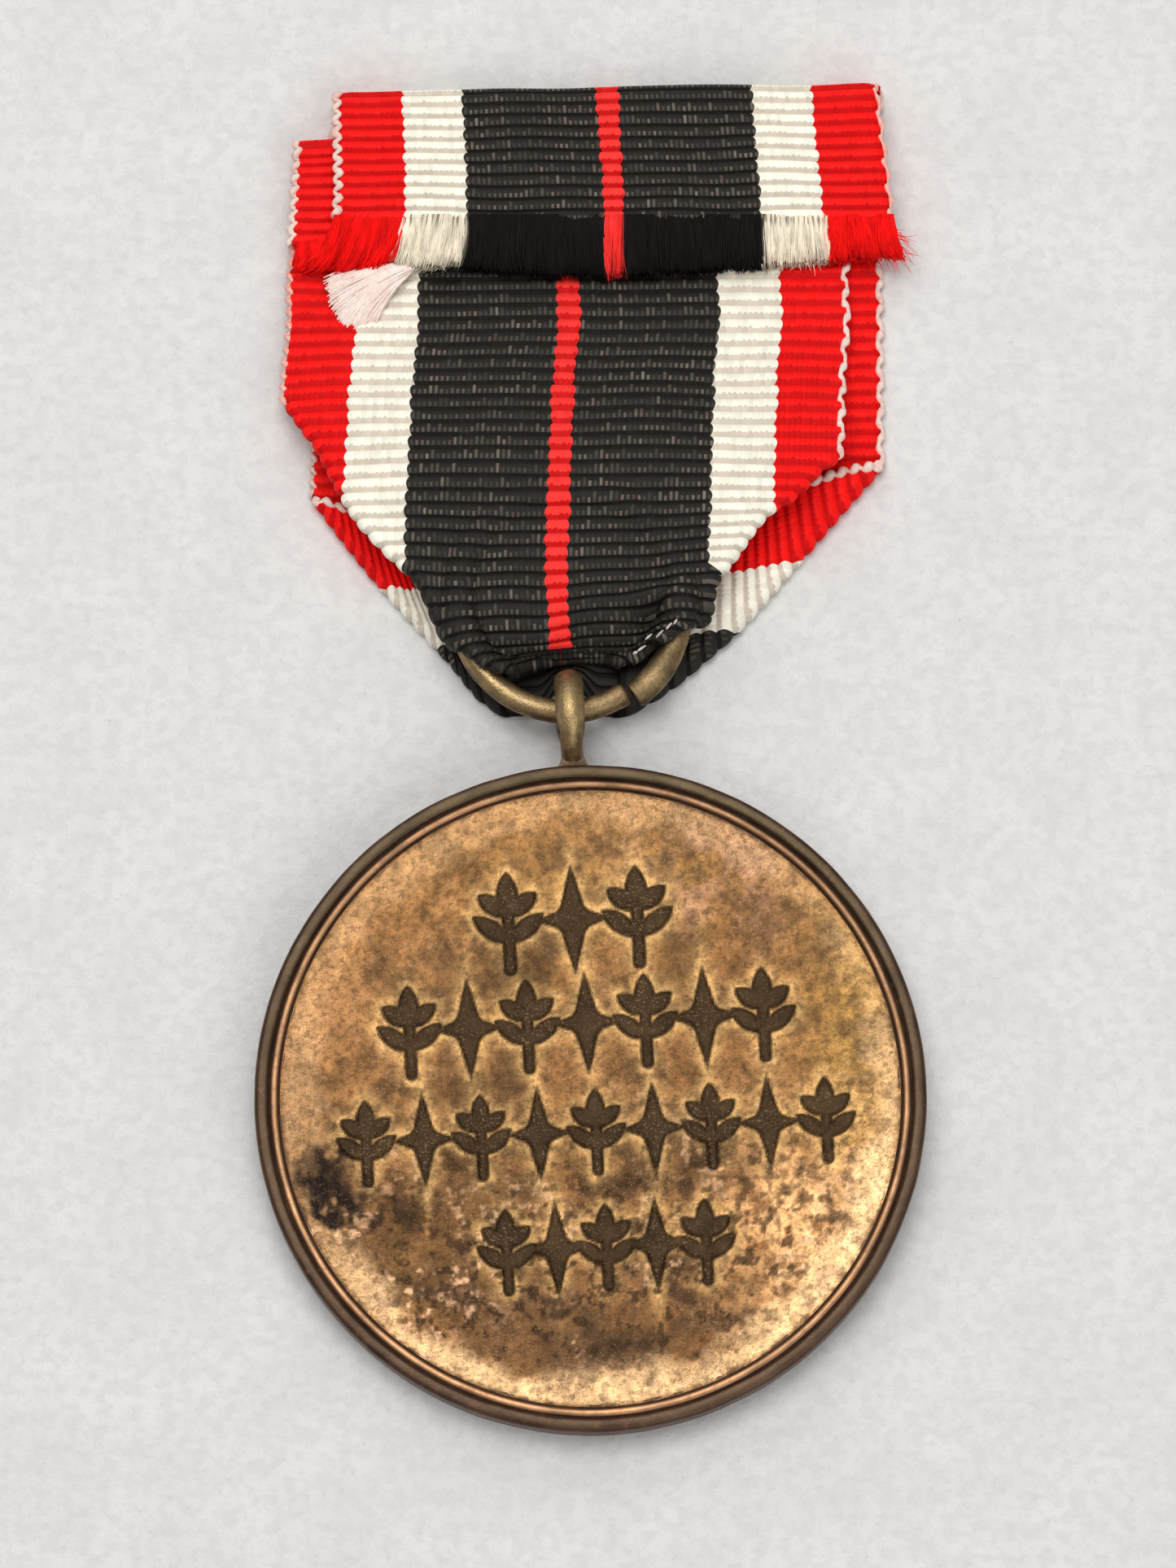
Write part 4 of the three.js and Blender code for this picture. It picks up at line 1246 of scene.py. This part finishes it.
def rim():
    """The raised edge, turned as one ring: field edge, hollow, bead, hollow, flat, rounded corner and side."""
    half = [
        (14.86, 0.795), (14.95, 0.80), (15.0, 0.79), (15.04, 0.76), (15.07, 0.76), (15.10, 0.86),
        (15.14, 0.945), (15.20, 0.985), (15.27, 1.0),
        (15.36, 0.995), (15.43, 0.975), (15.49, 0.93), (15.52, 0.88), (15.55, 0.88), (15.57, 0.95),
        (15.60, 1.07), (15.65, 1.13), (15.75, 1.15),
        (15.9, 1.15), (16.02, 1.145), (16.10, 1.12), (16.17, 1.07), (16.215, 0.99), (16.24, 0.88), (16.25, 0.7),
        (16.25, 0.45), (16.25, 0.2), (16.25, 0.0),
    ]
    profile = np.array(half + [(r, -z) for r, z in half[-2::-1]])
    count = 420
    angle = circle(count)
    ra, za = profile[:, 0][:, None], profile[:, 1][:, None]
    dents = lambda size, seed: waves(np.cos(angle) * size, np.sin(angle) * size, seed, 5.0)[None]
    worn = 0.012 * dents(16, 65) + 0.006 * dents(40, 66)
    r = ra + np.where(ra > 15.5, worn, worn * 0.4)
    z = za + np.sign(za) * np.where(r > 15.5, 0.5 * worn, 0)
    points = np.stack([r * np.cos(angle), r * np.sin(angle), z], -1)
    faces = grid_faces(len(profile), count, wrap=True)
    # Chocolate on the flat and the side, bright copper on the bead, with a painted highlight on the bead,
    # brightest low on the left.
    base = np.ones((len(profile), count, 3)) * [0.092, 0.050, 0.032]
    facing = lambda degrees: (0.5 + 0.5 * np.cos(angle - radians(degrees)))[None]
    bead = bell(ra, 15.29, 0.17, 4) * (np.abs(za) > 0.8)
    bead_painted_highlight = (0.62 + 0.55 * facing(255)) * (0.8 + 0.5 * bell(ra, 15.22, 0.06))
    base = toward(base, np.array([0.496, 0.266, 0.133]) * bead_painted_highlight[..., None], 0.95 * bead)
    flat = bell(ra, 15.83, 0.24) * (za > 0)
    olive = np.array([0.062, 0.049, 0.024]) * (0.75 + 0.6 * facing(85))[..., None]
    base = toward(base, olive, 0.85 * flat * (0.35 + 0.65 * facing(90)))
    hollow = (bell(ra, 15.06, 0.04) + bell(ra, 15.54, 0.04)) * (np.abs(za) > 0.7)
    base = toward(base, [0.03, 0.016, 0.009], np.clip(0.8 * hollow, 0, 1))
    mottled = cloudy(angle[None] * 16 + 0 * ra, za * 2 + ra * 3, 67, 1.3, 4)
    base = base * (0.50 + mottled)[..., None]
    return piece("disc_rim", in_disc(points), faces, RIM, values={"tone_and_painted_light": base.reshape(-1, 3)})


rim_piece = rim()


# ---- Ring, eyelet and solder ----


def suspension_ring():
    """A wire ring, its two ends pressed almost together, one of them a little flattened and off line."""
    cut, gap = radians(-57), 0.24
    half = gap / RING_RADIUS / 2
    count, sides = 220, 28
    t = np.linspace(0, 1, count)
    angle = cut + half + t * (2 * pi - 2 * half)
    # The end on the right of the cut lies further out and is wider.
    near_right = smoothstep(0.16, 0.0, t)
    near_left = smoothstep(0.90, 1.0, t)
    radius = RING_RADIUS + 0.20 * near_right - 0.14 * near_left + 0.02 * np.sin(angle * 3 + 1)
    uneven = 1 + 0.012 * np.sin(angle * 17) + 0.01 * np.sin(angle * 41 + 2)
    wide = RING_WIRE * (1 + 0.20 * smoothstep(0.20, 0.02, t)) * uneven
    high = RING_WIRE * (1 + 0.02 * np.sin(angle * 13 + 1))
    outward = np.stack([np.cos(angle), np.sin(angle), 0 * angle], -1)
    centre = [RING_X, RING_Y, RING_Z] + radius[:, None] * outward + near_right[:, None] * [0, 0, 0.05]
    # Slightly rounded ends, closed by a middle point.
    shrink = np.ones(count)
    shrink[[0, -1]] = 0.86
    points = sections(centre, outward, wide * shrink, [0, 0, 1.0], high * shrink, sides).reshape(-1, 3)
    points = np.concatenate([points, centre[[0]], centre[[-1]]])
    n = count * sides
    ends = np.array(cap(0, sides, n) + cap(n - sides, sides, n + 1))
    faces = np.concatenate([grid_faces(count, sides, wrap=True), ends])
    # The top of the wire is rubbed lighter, more towards the disc; the left arc is lighter again, painted light
    # making up for the ribbon's shadow on it.
    rubbed = 0.2 + 0.25 * np.clip(-np.sin(angle), 0, 1) + 1.1 * np.clip(-np.cos(angle), 0, 1)
    worn = smoothstep(0.2, 1.0, np.sin(circle(sides)))[None] * rubbed[:, None]
    return piece(
        "ring_wire", points, faces, RING_BRASS, values={"worn": np.concatenate([worn.ravel(), [0, 0]])},
    )


ring_piece = suspension_ring()


def eyelet():
    """The loop across the disc's edge: thick and worn where it hangs on the ring, slimmer at the foot."""
    count, sides = 120, 28
    angle = circle(count)
    top = 0.5 + 0.5 * np.sin(angle)  # 1 at the ribbon's side of the loop, 0 at the disc's
    outward = np.stack([0 * angle, np.sin(angle), np.cos(angle)], -1)
    centre = [0, EYELET_REACH, 0] + EYELET_LOOP * outward
    wide = EYELET_WIRE * (0.82 + 0.27 * smoothstep(0.20, 0.48, top)) * (1 + 0.012 * np.sin(angle * 7))
    thick = EYELET_WIRE * (0.92 + 0.04 * np.sin(angle * 5 + 1))
    points = sections(centre, [1.0, 0, 0], wide, outward, thick, sides)
    i = np.arange(count * sides).reshape(count, sides)
    right, down = np.roll(i, -1, 1), np.roll(i, -1, 0)
    faces = np.stack([i, right, np.roll(down, -1, 1), down], -1).reshape(-1, 4)
    a = circle(sides)
    rubbed = smoothstep(0.3, 1, np.sin(a))[None] * smoothstep(0.2, 0.9, np.cos(angle))[:, None] * 0.8
    reddened = smoothstep(0.34, 0.10, top)[:, None] * (0.5 + 0.5 * np.abs(np.cos(a))[None])
    return piece(
        "eyelet_wire", in_disc(points), faces, EYELET_BRASS, values={"worn": (rubbed - reddened).ravel()},
    )


eyelet_piece = eyelet()


def solder_fillet():
    """Hard solder run round the eyelet's foot on the disc's edge, thin at its margins."""
    rows, cols = 22, 48
    s = np.linspace(0, 1, rows)[:, None]
    a = circle(cols)[None]
    spread = 1 - 0.42 * s**0.7
    lump = 1 + 0.05 * np.sin(a * 3 + 1) + 0.04 * np.sin(a * 5)
    x = 0.92 * spread * np.cos(a) * lump
    z = 1.08 * spread * np.sin(a) * lump
    y = np.sqrt(np.clip(16.22**2 - x**2, 0, None)) - 0.02 + 0.66 * (s**1.5) + 0 * a
    points = in_disc(np.stack([x, y, z], -1)).reshape(-1, 3)
    faces = grid_faces(rows, cols, wrap=True)
    hub = in_disc(np.array([[0, 16.24 + 0.66, 0]]))
    points = np.concatenate([points, hub])
    n = rows * cols
    faces = np.concatenate([faces, cap(n - cols, cols, n)])
    worn = np.concatenate([(0.5 * smoothstep(0.3, 0.9, np.sin(a)) * (1 - s)).ravel(), [0]])
    return piece("solder_fillet", points, faces, SOLDER, values={"worn": worn})


solder_piece = solder_fillet()


# ---- What rides on what ----

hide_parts("ribbon_back_panel", "ribbon_inner_fold", "ribbon_ring_turn")
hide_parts("ribbon_front_panel", "ribbon_outer_fold", "ribbon_left_flap", "ribbon_right_flap")
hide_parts("outer_fringe")
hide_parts("inner_fringe")
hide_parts("fibre_tuft")
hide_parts("medal_disc")
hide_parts("suspension_ring")
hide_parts("eyelet_loop")
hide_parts("eyelet_solder")

for obj in (back, front, *edges[0:2], *edges[4:6]):
    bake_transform(obj)
for obj in (outer_bed, outer_strands, inner_bed, inner_strands, tuft_piece, strays, *edges[2:4], *edges[8:10]):
    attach(obj, "ribbon_upper")
for obj in (*edges[6:8], glint_piece):
    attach(obj, "ribbon_lower")
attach(ring_piece, "ring")
for obj in (reverse, obverse, rim_piece, eyelet_piece, solder_piece):
    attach(obj, "medal")


# ---- Table, light and camera ----


def paper():
    n = Nodes("pale_paper")
    at = n.place()
    cloud = n.noise(at, 210.0, 5.0, 0.65)
    fine = n.noise(at, 2400.0, 4.0, 0.7)
    fleck = n.noise(at, 900.0, 2.0)
    colour = n.mix(n.range(cloud, 0.3, 0.7), (0.735, 0.733, 0.727), (0.79, 0.787, 0.78))
    colour = n.mix(n.range(n.noise(at, 1300.0, 3.0, 0.6), 0.40, 0.62, 0.0, 0.5), colour, (0.66, 0.66, 0.665))
    colour = n.mix(n.times(n.range(fine, 0.52, 0.72), 0.22), colour, (0.47, 0.47, 0.48))
    colour = n.mix(n.times(n.range(fleck, 0.77, 0.80), 0.5), colour, (0.25, 0.24, 0.25))
    return n.done(Base_Color=colour, Roughness=0.9, Specular_IOR_Level=0.1, Normal=n.bump(fine, 0.00012, 0.7))


def table():
    mesh = bpy.data.meshes.new("table")
    half = 1.2
    mesh.from_pydata(
        [(-half, -half, 0), (half, -half, 0), (half, half, 0), (-half, half, 0)], [], [(0, 1, 2, 3)],
    )
    mesh.materials.append(paper())
    obj = bpy.data.objects.new("table", mesh)
    bpy.context.scene.collection.objects.link(obj)
    obj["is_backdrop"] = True


table()


def light(name, place, size, power, colour):
    """An oblong light aimed at the middle of the table."""
    data = bpy.data.lights.new(name, "AREA")
    data.shape, data.size, data.size_y = "RECTANGLE", size[0], size[1]
    data.energy, data.color = power, colour
    obj = bpy.data.objects.new(name, data)
    obj.location = place
    obj.rotation_euler = (-Vector(place)).to_track_quat("-Z", "Y").to_euler()
    bpy.context.scene.collection.objects.link(obj)


light("overhead", (-0.05, 0.12, 0.54), (0.36, 0.30), 1.75, (1.0, 0.99, 0.97))
light("window", (-0.12, 0.44, 0.34), (0.40, 0.24), 0.58, (1.0, 0.985, 0.96))
light("fill", (0.22, -0.34, 0.40), (0.46, 0.40), 0.95, (1.0, 0.99, 0.98))

world = bpy.data.worlds.new("room")
world.use_nodes = True
background = world.node_tree.nodes["Background"].inputs
background["Color"].default_value = (1.0, 0.99, 0.975, 1)
background["Strength"].default_value = 0.28
bpy.context.scene.world = world
bpy.context.scene.view_settings.view_transform = "Standard"

camera_data = bpy.data.cameras.new("camera")
camera_data.sensor_fit = "VERTICAL"
camera_data.sensor_height = 36
camera_data.sensor_width = 36
camera_data.lens = 163.53
camera_data.clip_start, camera_data.clip_end = 0.01, 10
camera = bpy.data.objects.new("camera", camera_data)
camera.location = (-0.118 * MM, (-56.819 + DISC_Y) * MM, 342.352 * MM)
camera.rotation_euler = (radians(12), 0, 0)  # tipped back from straight down, as in the photograph
bpy.context.scene.collection.objects.link(camera)
bpy.context.scene.camera = camera

low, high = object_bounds()
{"cad": [list(CAD_BOX[0]), list(CAD_BOX[1])], "visual": [list(low), list(high)]}
